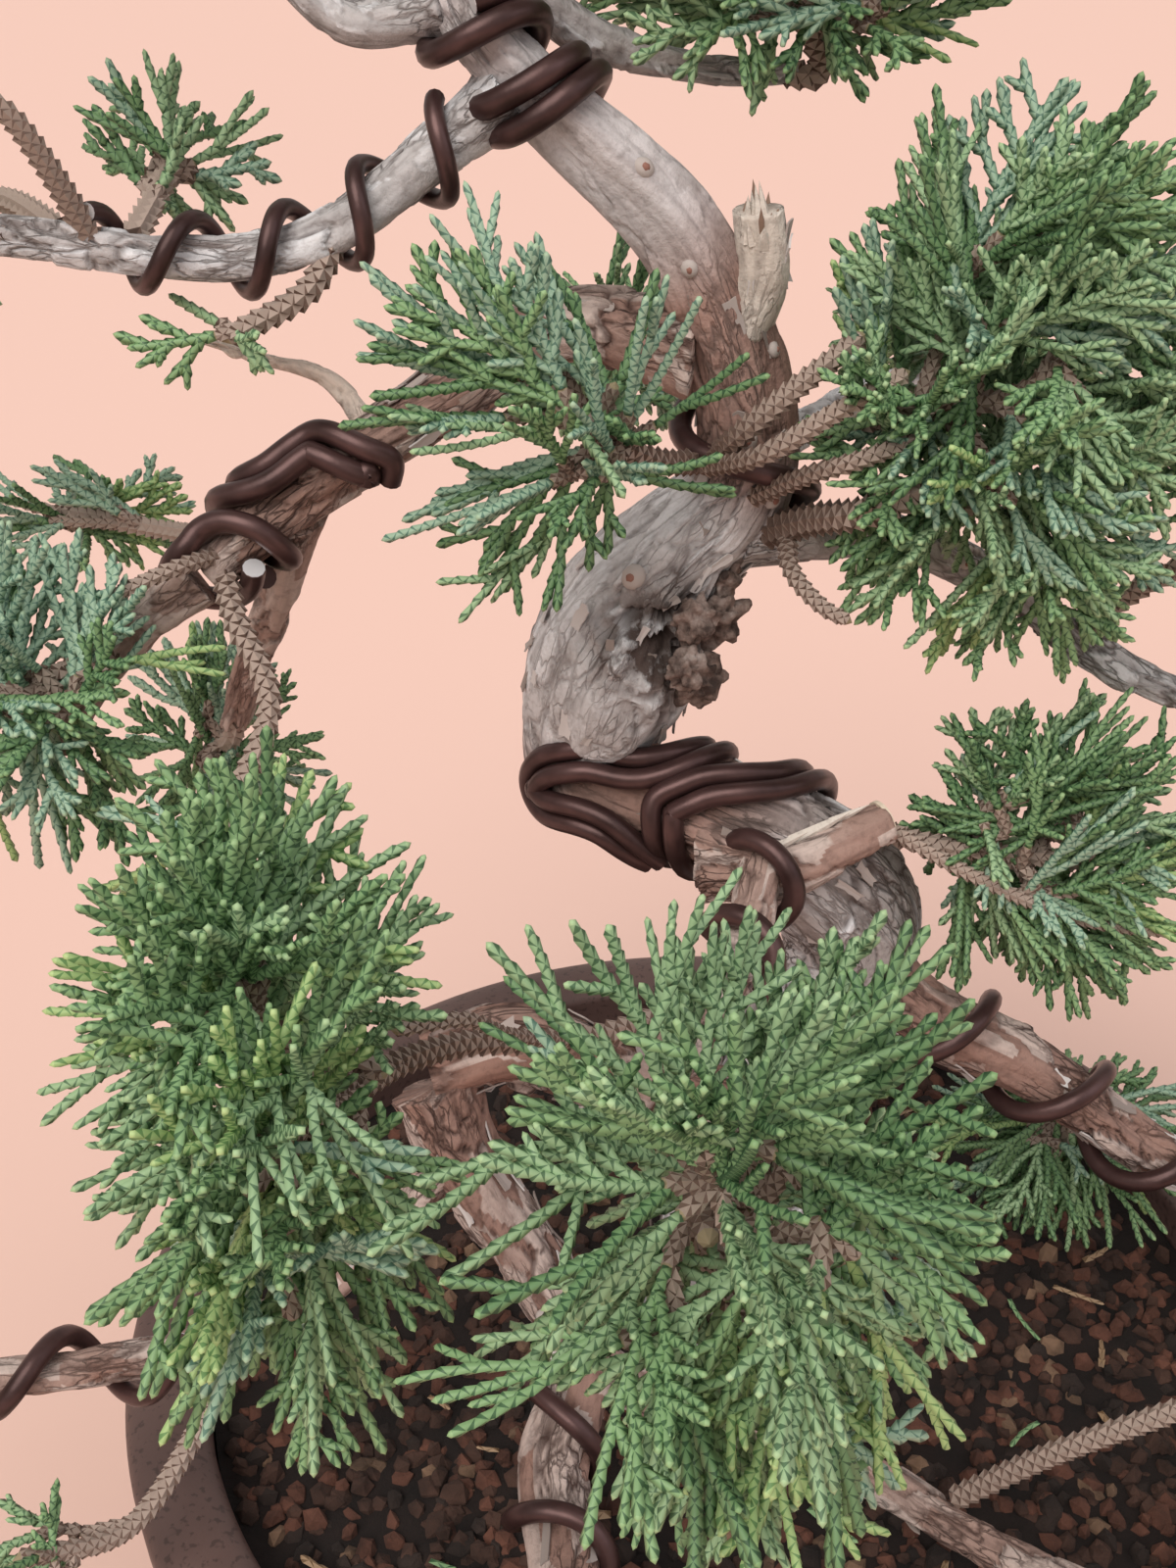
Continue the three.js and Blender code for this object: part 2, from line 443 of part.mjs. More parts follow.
// Foliage masses: an egg-shaped space each, filled from one stem by one seeded rule.
// A stem starts inside its host, at the host's tip unless a stem route says otherwise.
const massSpecs = [
  { name: 'foliage_centre', host: 'trunk', stem: [[-6, 2, 201], [-14, -10, 205]],
    centre: [-25, -20, 214], reach: [22, 10, 25], twigs: 11 },
  { name: 'foliage_right', host: 'trunk', stem: [[-3.4, 2, 203], [8, -1, 206]],
    centre: [27, -6, 211], reach: [25, 18, 35], twigs: 14 },
  { name: 'foliage_right_outer', host: 'bough_right', centre: [66, 6, 208], reach: [24, 24, 30],
    stem: [[42, 13, 173], [50, 11, 181], [56, 8, 187]], twigs: 10 },
  { name: 'foliage_right_lower', host: 'stub_cut', centre: [38, -4, 149], reach: [24, 12, 25],
    stem: [[12, -4.5, 155.4], [20, -4, 152]], twigs: 9 },
  { name: 'foliage_right_under', host: 'bough_right_low', centre: [54, 12, 85],
    reach: [24, 18, 14], stem: [[44, -6, 113], [49, 4, 105], [52, 10, 98]], twigs: 5 },
  { name: 'foliage_right_low', host: 'bough_right_low', centre: [103, -10, 93],
    reach: [21, 20, 15], twigs: 6 },
  { name: 'foliage_right_back', host: 'bough_right_back', centre: [104, 60, 150],
    reach: [24, 22, 19], twigs: 7 },
  { name: 'foliage_left', host: 'bough_left_outer', centre: [-87, -18, 179], reach: [26, 14, 22],
    stem: [[-76, -9.2, 182.4], [-80, -14, 182]], twigs: 8 },
  { name: 'foliage_left_hanging', host: 'bough_left', centre: [-68, -25, 160],
    reach: [15, 10, 13], stem: [[-64, -6, 191.4], [-62, -12, 187], [-58, -17, 178]], twigs: 5 },
  { name: 'foliage_left_far', host: 'bough_left', centre: [-94, 32, 183],
    reach: [23, 12, 10], stem: [[-60, -4, 194.5], [-66, 8, 189], [-76, 22, 184]], twigs: 5 },
  { name: 'foliage_left_rear', host: 'bough_left_rear', centre: [-75, 26, 150], reach: [17, 14, 18],
    twigs: 5 },
  { name: 'foliage_upper_left', host: 'bough_upper_left', centre: [-104, -7, 229],
    reach: [22, 18, 18], twigs: 7 },
  { name: 'foliage_upper_left_back', host: 'bough_upper_left', centre: [-122, 42, 214],
    reach: [20, 18, 16], stem: [[-76, -5.9, 227.8], [-88, 9, 229], [-107, 26, 221]], twigs: 6 },
  { name: 'foliage_upper_left_low', host: 'bough_upper_left', centre: [-60, -8, 218],
    reach: [13, 8, 6], stem: [[-48, -4, 228.6], [-51, -7, 223]], twigs: 4 },
  { name: 'foliage_upper_left_near', host: 'bough_upper_left', stem: [[-70, -5.6, 227.2]],
    centre: [-68, 12, 233], reach: [13, 10, 12], twigs: 5 },
  { name: 'foliage_crown_left', host: 'bough_crown_left', centre: [-66, 4, 266],
    reach: [22, 19, 15], twigs: 7 },
  { name: 'foliage_crown_right', host: 'bough_crown_right', centre: [0, 12, 251],
    reach: [27, 14, 13], twigs: 7 },
  { name: 'foliage_crown_back', host: 'bough_crown_back', centre: [-4, 54, 263],
    reach: [26, 22, 17], twigs: 7 },
  { name: 'foliage_apex', host: 'trunk', centre: [-6, 2, 284], reach: [32, 26, 17], twigs: 9 },
  { name: 'foliage_back', host: 'bough_back', centre: [-18, 64, 199], reach: [20, 18, 17],
    twigs: 6 },
  { name: 'foliage_back_right', host: 'bough_back_right', centre: [42, 74, 197],
    reach: [26, 23, 22], twigs: 7 },
  { name: 'foliage_front', host: 'bough_front', centre: [-12, -92, 170], reach: [27, 23, 31],
    twigs: 11 },
  { name: 'foliage_front_left', host: 'bough_front', centre: [-48, -80, 171],
    reach: [18, 23, 34], stem: [[-7, -37, 151.3], [-21, -46, 153], [-35, -56, 160]], twigs: 9 },
  { name: 'foliage_low_front', host: 'bough_low_front', centre: [-25, -117, 92],
    reach: [23, 19, 15], twigs: 6 },
  { name: 'foliage_low_right', host: 'bough_low_right', centre: [60, -82, 90], reach: [20, 18, 14],
    twigs: 6 },
  { name: 'foliage_low_right_twig', host: 'bough_low_right', centre: [86, -40, 102],
    reach: [17, 13, 11], stem: [[24, -44.8, 73.4], [38, -46, 86], [53, -45, 93], [68, -42, 97]],
    twigs: 5 },
  { name: 'foliage_low_left', host: 'bough_low_left', centre: [-124, -44, 98],
    reach: [20, 17, 14], twigs: 6 },
  { name: 'foliage_low_left_twig', host: 'bough_low_left', centre: [-92, -56, 79],
    reach: [14, 10, 8], stem: [[-68, -31.7, 91.6], [-73.5, -41, 82], [-81, -50, 76]], twigs: 4 },
];

function spaceDepth(mass, point) {
  const dx = (point.x - mass.centre[0]) / mass.reach[0];
  const dy = (point.y - mass.centre[1]) / mass.reach[1];
  const dz = (point.z - mass.centre[2]) / mass.reach[2];
  return Math.hypot(dx, dy, dz);
}

// Stations along every limb, each with the room that its bark and wire need.
const limbStations = [];
for (const limb of limbs.values()) {
  const margin = limb.wired || limb === trunk ? WIRED_MARGIN : LIMB_MARGIN;
  const count = Math.ceil(limb.length / 3);
  for (let i = 0; i <= count; i += 1) {
    const point = limb.curve.getPointAt(i / count);
    limbStations.push({ point, room: limb.radiusAt(i / count) + margin });
  }
}

function hasRoom(mass, point, width) {
  const own = spaceDepth(mass, point);
  if (own > 1) return false;
  const crowded = massSpecs.some((other) => other !== mass
    && spaceDepth(other, point) < own + SPACE_MARGIN);
  if (crowded) return false;
  const radial = Math.hypot(point.x, point.y);
  if (radial < RIM_RADIUS + 3 && point.z < POT_HEIGHT + 3) return false;
  return limbStations.every(({ point: axis, room }) => axis.distanceTo(point) > room + width);
}

function lineHasRoom(mass, start, end, width) {
  for (let i = 1; i <= 6; i += 1) {
    const point = start.clone().lerp(end, i / 6);
    if (!hasRoom(mass, point, width)) return false;
  }
  return true;
}

// A blade is a closed three-sided spike through stations of a point, a width and a thickness.
function bladeSolid(stations, across) {
  const last = stations[stations.length - 1].point;
  const forward = last.clone().sub(stations[0].point).normalize();
  const over = forward.clone().cross(across).normalize();
  const positions = [];
  const index = [];
  for (const { point, wide, thick } of stations) {
    for (const [x, y] of [[0, thick / 2], [-wide / 2, -thick / 2], [wide / 2, -thick / 2]]) {
      const corner = point.clone().addScaledVector(across, x).addScaledVector(over, y);
      positions.push(...corner.toArray());
    }
  }
  for (let i = 0; i < stations.length - 1; i += 1) {
    for (let j = 0; j < 3; j += 1) {
      const a = 3 * i + j;
      const b = 3 * i + ((j + 1) % 3);
      if (stations[i].wide) index.push(a, b, b + 3);
      if (stations[i + 1].wide) index.push(a, b + 3, a + 3);
    }
  }
  if (stations[0].wide) index.push(0, 2, 1);
  const geometry = new THREE.BufferGeometry();
  geometry.setAttribute('position', new THREE.Float32BufferAttribute(positions, 3));
  geometry.setIndex(index);
  return toSolid(geometry);
}

// A stem is a three-sided limb from its host to the middle of the mass's space.
function makeStem(mass) {
  const host = limbs.get(mass.host);
  const tip = host.curve.getPointAt(1);
  const outward = host.curve.getTangentAt(1);
  const atTip = [tip.clone().addScaledVector(outward, -2), tip.addScaledVector(outward, 3)];
  const start = mass.stem ?? atTip.map((point) => point.toArray());
  const route = [...start, mass.centre];
  return makeLimb({ route, sides: 3, step: 10, rootRadius: STEM_RADIUS, tipRadius: STEM_TIP_RADIUS });
}

// Sprays of one mass stay apart, so that they spread evenly and don't tangle.
function standsApart(placed, root, end) {
  const at = (spray, part) => spray.root.clone().lerp(spray.end, part);
  return placed.every((other) => [0.35, 0.65, 1].every((mine) => {
    const point = root.clone().lerp(end, mine);
    return [0.35, 0.65, 1].every((theirs) => at(other, theirs).distanceTo(point) > SPRAY_SPACING);
  }));
}

function growSpray(mass, placed, root, along, size) {
  const end = root.clone().addScaledVector(along, size);
  while (spaceDepth(mass, end) > 1 && root.distanceTo(end) > size / 3) end.lerp(root, 0.06);
  const middle = root.clone().lerp(end, SPRAY_BELLY);
  const clear = lineHasRoom(mass, root.clone().lerp(end, 0.15), end, SPRAY_THICKNESS);
  if (!clear || !standsApart(placed, root, end)) return null;
  const spray = { root, middle, end };
  placed.push(spray);
  return spray;
}

function sprayStations({ root, middle, end }) {
  const start = root.clone().lerp(end, -ROOT_SINK / root.distanceTo(end));
  return [
    { point: start, wide: 0, thick: 0 },
    { point: middle, wide: SPRAY_WIDTH, thick: SPRAY_THICKNESS },
    { point: end, wide: 0, thick: 0 },
  ];
}

function growTwig(mass, placed, node, target, random) {
  const forward = target.clone().sub(node);
  const length = forward.length();
  forward.normalize();
  const elbow = node.clone().lerp(target, Math.max(0.25, 1 - SPRAY_LENGTH / length));
  const across = new THREE.Vector3(random() - 0.5, random() - 0.5, random() - 0.5).cross(forward);
  across.normalize();
  if (!lineHasRoom(mass, node.clone().lerp(elbow, 0.4), elbow, TWIG_RADIUS)) return [];
  const tip = growSpray(mass, placed, elbow, forward, elbow.distanceTo(target));
  if (!tip) return [];
  const [, ...beyond] = sprayStations(tip);
  const wide = 2 * TWIG_RADIUS;
  const twig = [{ point: node, wide, thick: wide }, { point: elbow, wide, thick: wide }, ...beyond];
  const pieces = [bladeSolid(twig, across)];
  for (const lean of [SPRAY_LEAN, -SPRAY_LEAN]) {
    const along = forward.clone().multiplyScalar(Math.cos(lean));
    along.addScaledVector(across, Math.sin(lean)).normalize();
    const size = SPRAY_LENGTH * (0.75 + 0.2 * random());
    const root = node.clone().lerp(elbow, lean > 0 ? 0.8 : 0.5);
    const spray = growSpray(mass, placed, root, along, size);
    const beside = across.clone().multiplyScalar(Math.cos(lean));
    beside.addScaledVector(forward, -Math.sin(lean));
    if (spray) pieces.push(bladeSolid(sprayStations(spray), beside));
  }
  return pieces;
}

function massSolid(mass, seed) {
  const random = seededRandom(seed);
  const stem = makeStem(mass);
  const placed = [];
  const pieces = [];
  const spin = random() * 2 * Math.PI;
  for (let i = 0; i < mass.twigs; i += 1) {
    const up = 1 - (2 * (i + 0.5)) / mass.twigs;
    const turn = spin + i * GOLDEN_ANGLE;
    const flat = Math.sqrt(1 - up * up);
    const away = new THREE.Vector3(Math.cos(turn) * flat, Math.sin(turn) * flat, up);
    const target = away.multiply(vec(mass.reach)).add(vec(mass.centre));
    const node = stem.curve.getPointAt(0.6 + 0.35 * random());
    pieces.push(...growTwig(mass, placed, node, target, random));
  }
  return cutClear(pieces.reduce((whole, piece) => whole.add(piece), limbSolid(stem, 0)));
}

addNode('pot', potSolid(), finishes.clay);
addNode('soil', soilSolid(), finishes.soil);
addNode('trunk', largestPart(trunkSolid(0)), finishes.bark);
for (const spec of boughSpecs) {
  const bare = spec.name.startsWith('twig') || spec.name.startsWith('stub_dead');
  addNode(spec.name, boughSolid(limbs.get(spec.name)), bare ? finishes.deadwood : finishes.bark);
}
for (const spec of wireSpecs) {
  addNode(spec.name, cutClear(wireSolid(spec, 0)), finishes.wire);
  cutters.set(spec.name, wireSolid(spec, SEAT_GAP));
}
massSpecs.forEach((mass, i) => addNode(mass.name, massSolid(mass, i + 11), finishes.foliage));

export default bonsai;
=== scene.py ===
# A wired juniper bonsai in a round clay pot. Lengths below are millimetres unless a name says otherwise,
# and MM turns them into the frame's metres.
import math
import random

import bpy
import bmesh
import numpy as np
from mathutils import Matrix, Vector, noise


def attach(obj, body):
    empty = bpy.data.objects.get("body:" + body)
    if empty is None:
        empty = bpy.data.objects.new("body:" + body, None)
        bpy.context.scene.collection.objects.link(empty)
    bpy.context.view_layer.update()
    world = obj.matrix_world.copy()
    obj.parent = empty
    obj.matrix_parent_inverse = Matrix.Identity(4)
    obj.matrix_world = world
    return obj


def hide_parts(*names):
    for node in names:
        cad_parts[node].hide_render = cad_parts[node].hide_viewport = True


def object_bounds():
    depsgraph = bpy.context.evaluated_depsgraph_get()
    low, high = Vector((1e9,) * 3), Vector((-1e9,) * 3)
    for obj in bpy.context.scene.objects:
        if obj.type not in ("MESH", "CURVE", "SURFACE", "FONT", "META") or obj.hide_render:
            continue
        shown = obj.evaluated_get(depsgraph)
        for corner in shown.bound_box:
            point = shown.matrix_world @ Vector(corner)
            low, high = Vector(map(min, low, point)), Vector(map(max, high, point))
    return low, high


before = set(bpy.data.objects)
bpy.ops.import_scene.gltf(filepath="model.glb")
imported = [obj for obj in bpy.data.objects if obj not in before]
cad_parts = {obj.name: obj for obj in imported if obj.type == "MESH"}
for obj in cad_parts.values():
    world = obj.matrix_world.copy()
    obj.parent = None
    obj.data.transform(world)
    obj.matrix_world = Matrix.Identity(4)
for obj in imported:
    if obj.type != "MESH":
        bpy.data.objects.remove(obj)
cad_low, cad_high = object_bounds()
MM = 0.001
NOISE_SEED = 7
noise.seed_set(NOISE_SEED)  # without it, Blender shifts its noise vectors in every run


# Studio
# A wide sheet of peach-tinted paper carries the pot and fills the view. Light is soft and even: a pale
# room, a broad high lamp from the front left and a weaker one from the right.
PAPER_SIDE = 9000
PAPER_COLOUR = "e4c2b6"
LAMP_WIDTH = math.radians(50)
ROOM_COLOUR = "fff6f0"
ROOM_LIGHT = 0.52


def colour(code):
    """The linear colour of a six-digit sRGB code."""
    parts = [int(code[i : i + 2], 16) / 255 for i in (0, 2, 4)]
    linear = [p / 12.92 if p <= 0.04045 else ((p + 0.055) / 1.055) ** 2.4 for p in parts]
    return (*linear, 1)


def material(name, roughness, code=None):
    """A new material with its node tree and its Principled shader."""
    made = bpy.data.materials.new(name)
    made.use_nodes = True
    shader = made.node_tree.nodes["Principled BSDF"]
    shader.inputs["Roughness"].default_value = roughness
    if code:
        shader.inputs["Base Color"].default_value = colour(code)
    return made, made.node_tree, shader


def add_object(name, mesh):
    """A new object at the origin that holds a mesh, a lamp or a camera."""
    made = bpy.data.objects.new(name, mesh)
    bpy.context.scene.collection.objects.link(made)
    return made


def soft_sun(name, turn, height, power, code):
    """A very wide far lamp; turn and height are the degrees round and above the floor it shines from."""
    lamp = bpy.data.lights.new(name, "SUN")
    lamp.angle = LAMP_WIDTH
    lamp.energy = power
    lamp.color = colour(code)[:3]
    made = add_object(name, lamp)
    made.rotation_euler = (math.radians(90 - height), 0, math.radians(turn + 90))


paper_mesh = bpy.data.meshes.new("paper")
half = PAPER_SIDE / 2 * MM
paper_corners = [(-half, -half, 0), (half, -half, 0), (half, half, 0), (-half, half, 0)]
paper_mesh.from_pydata(paper_corners, [], [(0, 1, 2, 3)])
paper = add_object("paper", paper_mesh)
paper_mesh.materials.append(material("peach paper", 0.9, PAPER_COLOUR)[0])

soft_sun("front left lamp", -118, 50, 2.55, "fff6ee")
soft_sun("right lamp", -25, 42, 0.42, "f4f4ff")
room = bpy.data.worlds.new("room")
bpy.context.scene.world = room
room.use_nodes = True
room_light = room.node_tree.nodes["Background"]
room_light.inputs["Color"].default_value = colour(ROOM_COLOUR)
room_light.inputs["Strength"].default_value = ROOM_LIGHT
bpy.context.scene.view_settings.view_transform = "Standard"


# Camera
# It looks down at the elbow of the trunk from close in front, as the photograph does.
LENS = 38.25
SENSOR_WIDTH = 36
NEAREST_SEEN = 5
CAMERA_PLACE = (-21.4, -187.2, 266.0)
CAMERA_TILT = math.radians(60)
camera_data = bpy.data.cameras.new("camera")
camera_data.lens = LENS
camera_data.sensor_width = SENSOR_WIDTH
camera_data.clip_start = NEAREST_SEEN * MM
camera = add_object("camera", camera_data)
camera.location = Vector(CAMERA_PLACE) * MM
camera.rotation_euler = (CAMERA_TILT, 0, 0)
bpy.context.scene.camera = camera


# Pot
# A round training pot, thrown in dark purple-brown stoneware and fired unglazed, with a rolled rim,
# a bellied wall, a low foot and three drain holes. Its glazeless clay is faintly speckled.
RIM_RADIUS = 92
RIM_WIDTH = 12
RIM_DEPTH = 9
POT_HEIGHT = 66
FOOT_RADIUS = 58
FOOT_HEIGHT = 4
POT_WALL = 7
POT_TURNS = 160
DRAIN_RADIUS = 5.5
DRAIN_RING = 30
DRAIN_HOLES = 3
ROLL_RISE = 3
NECK = RIM_RADIUS - 5
RIM_INNER = RIM_RADIUS - RIM_WIDTH


def bowed(start, pull, end, steps):
    """Points of a quadratic bow from start to end."""
    t = np.linspace(0, 1, steps + 1)[:, None]
    start, pull, end = (np.array(p, float) for p in (start, pull, end))
    return ((1 - t) ** 2 * start + 2 * t * (1 - t) * pull + t**2 * end).tolist()


def turned(name, profile, turns):
    """A body turned on the Z axis from (radius, height) points that start and end on the axis."""
    inner = np.array(profile[1:-1])
    angles = np.arange(turns) * 2 * math.pi / turns
    rings = [np.c_[r * np.cos(angles), r * np.sin(angles), np.full(turns, z)] for r, z in inner]
    points = np.vstack([*rings, [[0, 0, profile[0][1]]], [[0, 0, profile[-1][1]]]])
    low, high = len(points) - 2, len(points) - 1
    last = (len(inner) - 1) * turns
    faces = []
    for j in range(turns):
        k = (j + 1) % turns
        faces.append((low, k, j))
        faces.append((high, last + j, last + k))
    for i in range(len(inner) - 1):
        a, b = i * turns, (i + 1) * turns
        faces += [(a + j, a + (j + 1) % turns, b + (j + 1) % turns, b + j) for j in range(turns)]
    mesh = bpy.data.meshes.new(name)
    mesh.from_pydata((points * MM).tolist(), [], faces)
    mesh.shade_smooth()
    return mesh


def pot_profile():
    """The pot's outline from the middle of its underside, over the rim and down to the middle inside."""
    roll = RIM_WIDTH / 2
    top = POT_HEIGHT - RIM_DEPTH
    floor = FOOT_HEIGHT + POT_WALL
    points = [(0, 0), (FOOT_RADIUS - 2.6, 0), (FOOT_RADIUS - 2, 0.6), (FOOT_RADIUS - 1, FOOT_HEIGHT)]
    points += bowed((FOOT_RADIUS + 3, FOOT_HEIGHT), (NECK, FOOT_HEIGHT + 14), (NECK, top), 22)
    points += bowed((NECK + 0.5, top + 0.1), (RIM_RADIUS - 0.6, top + 0.2), (RIM_RADIUS - 0.2, top + 1.6), 4)
    for i in range(19):
        angle = math.pi * i / 18
        across = RIM_INNER + roll + math.cos(angle) * roll
        points.append((across, POT_HEIGHT - ROLL_RISE + math.sin(angle) * ROLL_RISE))
    points.append((RIM_INNER, POT_HEIGHT - ROLL_RISE - 1))
    points += bowed((RIM_INNER, top), (NECK - POT_WALL, FOOT_HEIGHT + 16), (FOOT_RADIUS - 2, floor), 10)
    points.append((0, floor))
    return points


def drain_holes(pot):
    """Bores the drain holes through the pot's floor."""
    bits = bmesh.new()
    for i in range(DRAIN_HOLES):
        angle = 2 * math.pi * i / DRAIN_HOLES + math.pi / 6
        spot = Vector((math.cos(angle) * DRAIN_RING, math.sin(angle) * DRAIN_RING, 5))
        bmesh.ops.create_cone(bits, cap_ends=True, segments=32, radius1=DRAIN_RADIUS * MM,
                              radius2=DRAIN_RADIUS * MM, depth=40 * MM,
                              matrix=Matrix.Translation(spot * MM))
    mesh = bpy.data.meshes.new("drill")
    bits.to_mesh(mesh)
    bits.free()
    drill = add_object("drill", mesh)
    cut = pot.modifiers.new("drain", "BOOLEAN")
    cut.object = drill
    cut.operation = "DIFFERENCE"
    cut.solver = "EXACT"
    bored = bpy.data.meshes.new_from_object(pot.evaluated_get(bpy.context.evaluated_depsgraph_get()))
    pot.modifiers.remove(cut)
    pot.data = bored
    bpy.data.objects.remove(drill)


def noise_at(tree, scale, detail=4, rough=0.55):
    """A noise texture on the piece's own coordinates; scale counts cycles in a metre."""
    spot = tree.nodes.new("ShaderNodeTexCoord")
    cloud = tree.nodes.new("ShaderNodeTexNoise")
    cloud.inputs["Scale"].default_value = scale
    cloud.inputs["Detail"].default_value = detail
    cloud.inputs["Roughness"].default_value = rough
    tree.links.new(spot.outputs["Object"], cloud.inputs["Vector"])
    return cloud.outputs["Fac"]


def ramp(tree, factor, stops):
    """A colour ramp over (place, code) stops."""
    node = tree.nodes.new("ShaderNodeValToRGB")
    elements = node.color_ramp.elements
    while len(elements) < len(stops):
        elements.new(0.5)
    for element, (place, code) in zip(elements, stops):
        element.position = place
        element.color = colour(code)
    tree.links.new(factor, node.inputs["Fac"])
    return node.outputs["Color"]


def blend(tree, factor, first, second, mode="MIX"):
    """Mixes two colours, each an output or a code, by a number or an output."""
    node = tree.nodes.new("ShaderNodeMix")
    node.data_type = "RGBA"
    node.blend_type = mode
    for socket_name, value in (("Factor", factor), ("A", first), ("B", second)):
        socket = node.inputs[socket_name]
        if isinstance(value, str):
            socket.default_value = colour(value)
        elif isinstance(value, (int, float)):
            socket.default_value = value
        else:
            tree.links.new(value, socket)
    return node.outputs["Result"]


def bump(tree, shader, height, depth, strength=1.0):
    """Fine relief, depth in millimetres."""
    node = tree.nodes.new("ShaderNodeBump")
    node.inputs["Distance"].default_value = depth * MM
    node.inputs["Strength"].default_value = strength
    tree.links.new(height, node.inputs["Height"])
    tree.links.new(node.outputs["Normal"], shader.inputs["Normal"])


def rescale(tree, value, low, high):
    """Spreads an output that runs from 0 to 1 over another range."""
    node = tree.nodes.new("ShaderNodeMapRange")
    node.inputs["To Min"].default_value = low
    node.inputs["To Max"].default_value = high
    tree.links.new(value, node.inputs["Value"])
    return node.outputs["Result"]


def stoneware():
    """Matt purple-brown clay body with dark specks."""
    made, tree, shader = material("purple-brown stoneware", 0.5)
    body = ramp(tree, noise_at(tree, 26, 5), [(0.3, "4f3c39"), (0.7, "66504b")])
    speckle = ramp(tree, noise_at(tree, 900, 2), [(0.36, "3a2b29"), (0.44, "ffffff")])
    tree.links.new(blend(tree, 0.45, body, speckle, "MULTIPLY"), shader.inputs["Base Color"])
    tree.links.new(rescale(tree, noise_at(tree, 60, 6), 0.38, 0.62), shader.inputs["Roughness"])
    bump(tree, shader, noise_at(tree, 420, 4), 0.25, 0.6)
    return made


pot = add_object("turned_pot", turned("turned_pot", pot_profile(), POT_TURNS))
drain_holes(pot)
pot.data.materials.clear()
pot.data.materials.append(stoneware())
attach(pot, "root")
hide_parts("pot")


# Soil
# Loose baked-clay grains of 3 to 6 mm, red-brown and umber with some tan and charcoal ones, fill the pot
# to just under the rim. The coarsest lie evenly spread, and all of them rest on a rough bed, painted
# near-black as the shade in the gaps between the grains.
SEAT_GAP = 0.3
SOIL_TOP = 60
SOIL_EDGE_DROP = 2.5
SOIL_FLAT = 27
GRAIN_COLOURS = {"russet": "6a4538", "umber": "4e372e", "tan": "856a56", "charcoal": "332824"}
GRAIN_COUNTS = {"russet": 1300, "umber": 1500, "tan": 200, "charcoal": 520}
GRAIN_SMALLEST = 3
GRAIN_LARGEST = 5.8
GRAIN_SUNK = 0.38
GRAIN_SHAPES = 5
GRAIN_SEED = 40
GRAIN_ROOM = 2.6
BED_DROP = 1.3
BED_SHADE_COLOUR = "1f1411"
PEBBLE_COUNT = 72
PEBBLE_FIELD = 75
PEBBLE_SIZE = 5.8
PEBBLE_SINK = 1.2
ROOT_CLEARANCE = 25
GOLDEN_ANGLE = math.pi * (3 - math.sqrt(5))


def soil_bed():
    """The bed under the grains, painted near-black as the shade in the gaps between them, turned to fit the
    pot's inside and rough on its top.
    """
    floor = FOOT_HEIGHT + POT_WALL + SEAT_GAP
    wide = RIM_INNER - SEAT_GAP
    profile = [(0, floor)]
    profile += bowed((FOOT_RADIUS - 2 - SEAT_GAP, floor), (NECK - POT_WALL - SEAT_GAP, FOOT_HEIGHT + 16),
                     (wide, POT_HEIGHT - RIM_DEPTH), 8)
    profile.append((wide, SOIL_TOP - SOIL_EDGE_DROP - BED_DROP))
    for i in range(1, 40):
        r = (RIM_INNER - 1) * (1 - i / 40)
        profile.append((r, soil_height(r) - BED_DROP))
    profile.append((0, SOIL_TOP - BED_DROP))
    mesh = turned("soil_bed", profile, 120)
    for vertex in mesh.vertices:
        if vertex.co.z > (SOIL_TOP - 8) * MM and vertex.co.xy.length < (RIM_INNER - 2) * MM:
            vertex.co.z += noise.noise(vertex.co * 260) * 0.5 * MM
    return mesh


def soil_height(radius):
    """The height of the soil at a distance from the pot's middle: flat there, lower at the rim."""
    slope = np.clip((radius - SOIL_FLAT) / (RIM_INNER - SOIL_FLAT), 0, 1)
    return SOIL_TOP - SOIL_EDGE_DROP * slope


def grain_shape(seed):
    """A rough pebble of twenty faces, one millimetre across."""
    ball = bmesh.new()
    bmesh.ops.create_icosphere(ball, subdivisions=1, radius=0.5)
    dice = random.Random(seed)
    for vertex in ball.verts:
        vertex.co *= dice.uniform(0.72, 1.1)
    ball.transform(Matrix.Diagonal((1, dice.uniform(0.7, 1), dice.uniform(0.6, 0.85), 1)))
    mesh = bpy.data.meshes.new(f"grain_shape_{seed}")
    ball.to_mesh(mesh)
    ball.free()
    mesh.shade_flat()
    return mesh


def new_tree(name, result, **inputs):
    """An empty Geometry Nodes tree with named inputs of given kinds, and the nodes at its two ends."""
    tree = bpy.data.node_groups.new(name, "GeometryNodeTree")
    for label, kind in inputs.items():
        tree.interface.new_socket(label.replace("_", " "), in_out="INPUT", socket_type=f"NodeSocket{kind}")
    tree.interface.new_socket(result, in_out="OUTPUT", socket_type="NodeSocketGeometry")
    return tree, tree.nodes.new("NodeGroupInput"), tree.nodes.new("NodeGroupOutput")


def realized(tree, shapes, given, result):
    """Ends a tree: makes its shapes real, gives them the finish that it was given, and hands them out."""
    realize = tree.nodes.new("GeometryNodeRealizeInstances")
    paint = tree.nodes.new("GeometryNodeSetMaterial")
    tree.links.new(shapes, realize.inputs["Geometry"])
    tree.links.new(realize.outputs["Geometry"], paint.inputs["Geometry"])
    tree.links.new(given.outputs["Finish"], paint.inputs["Material"])
    tree.links.new(paint.outputs["Geometry"], result.inputs[0])


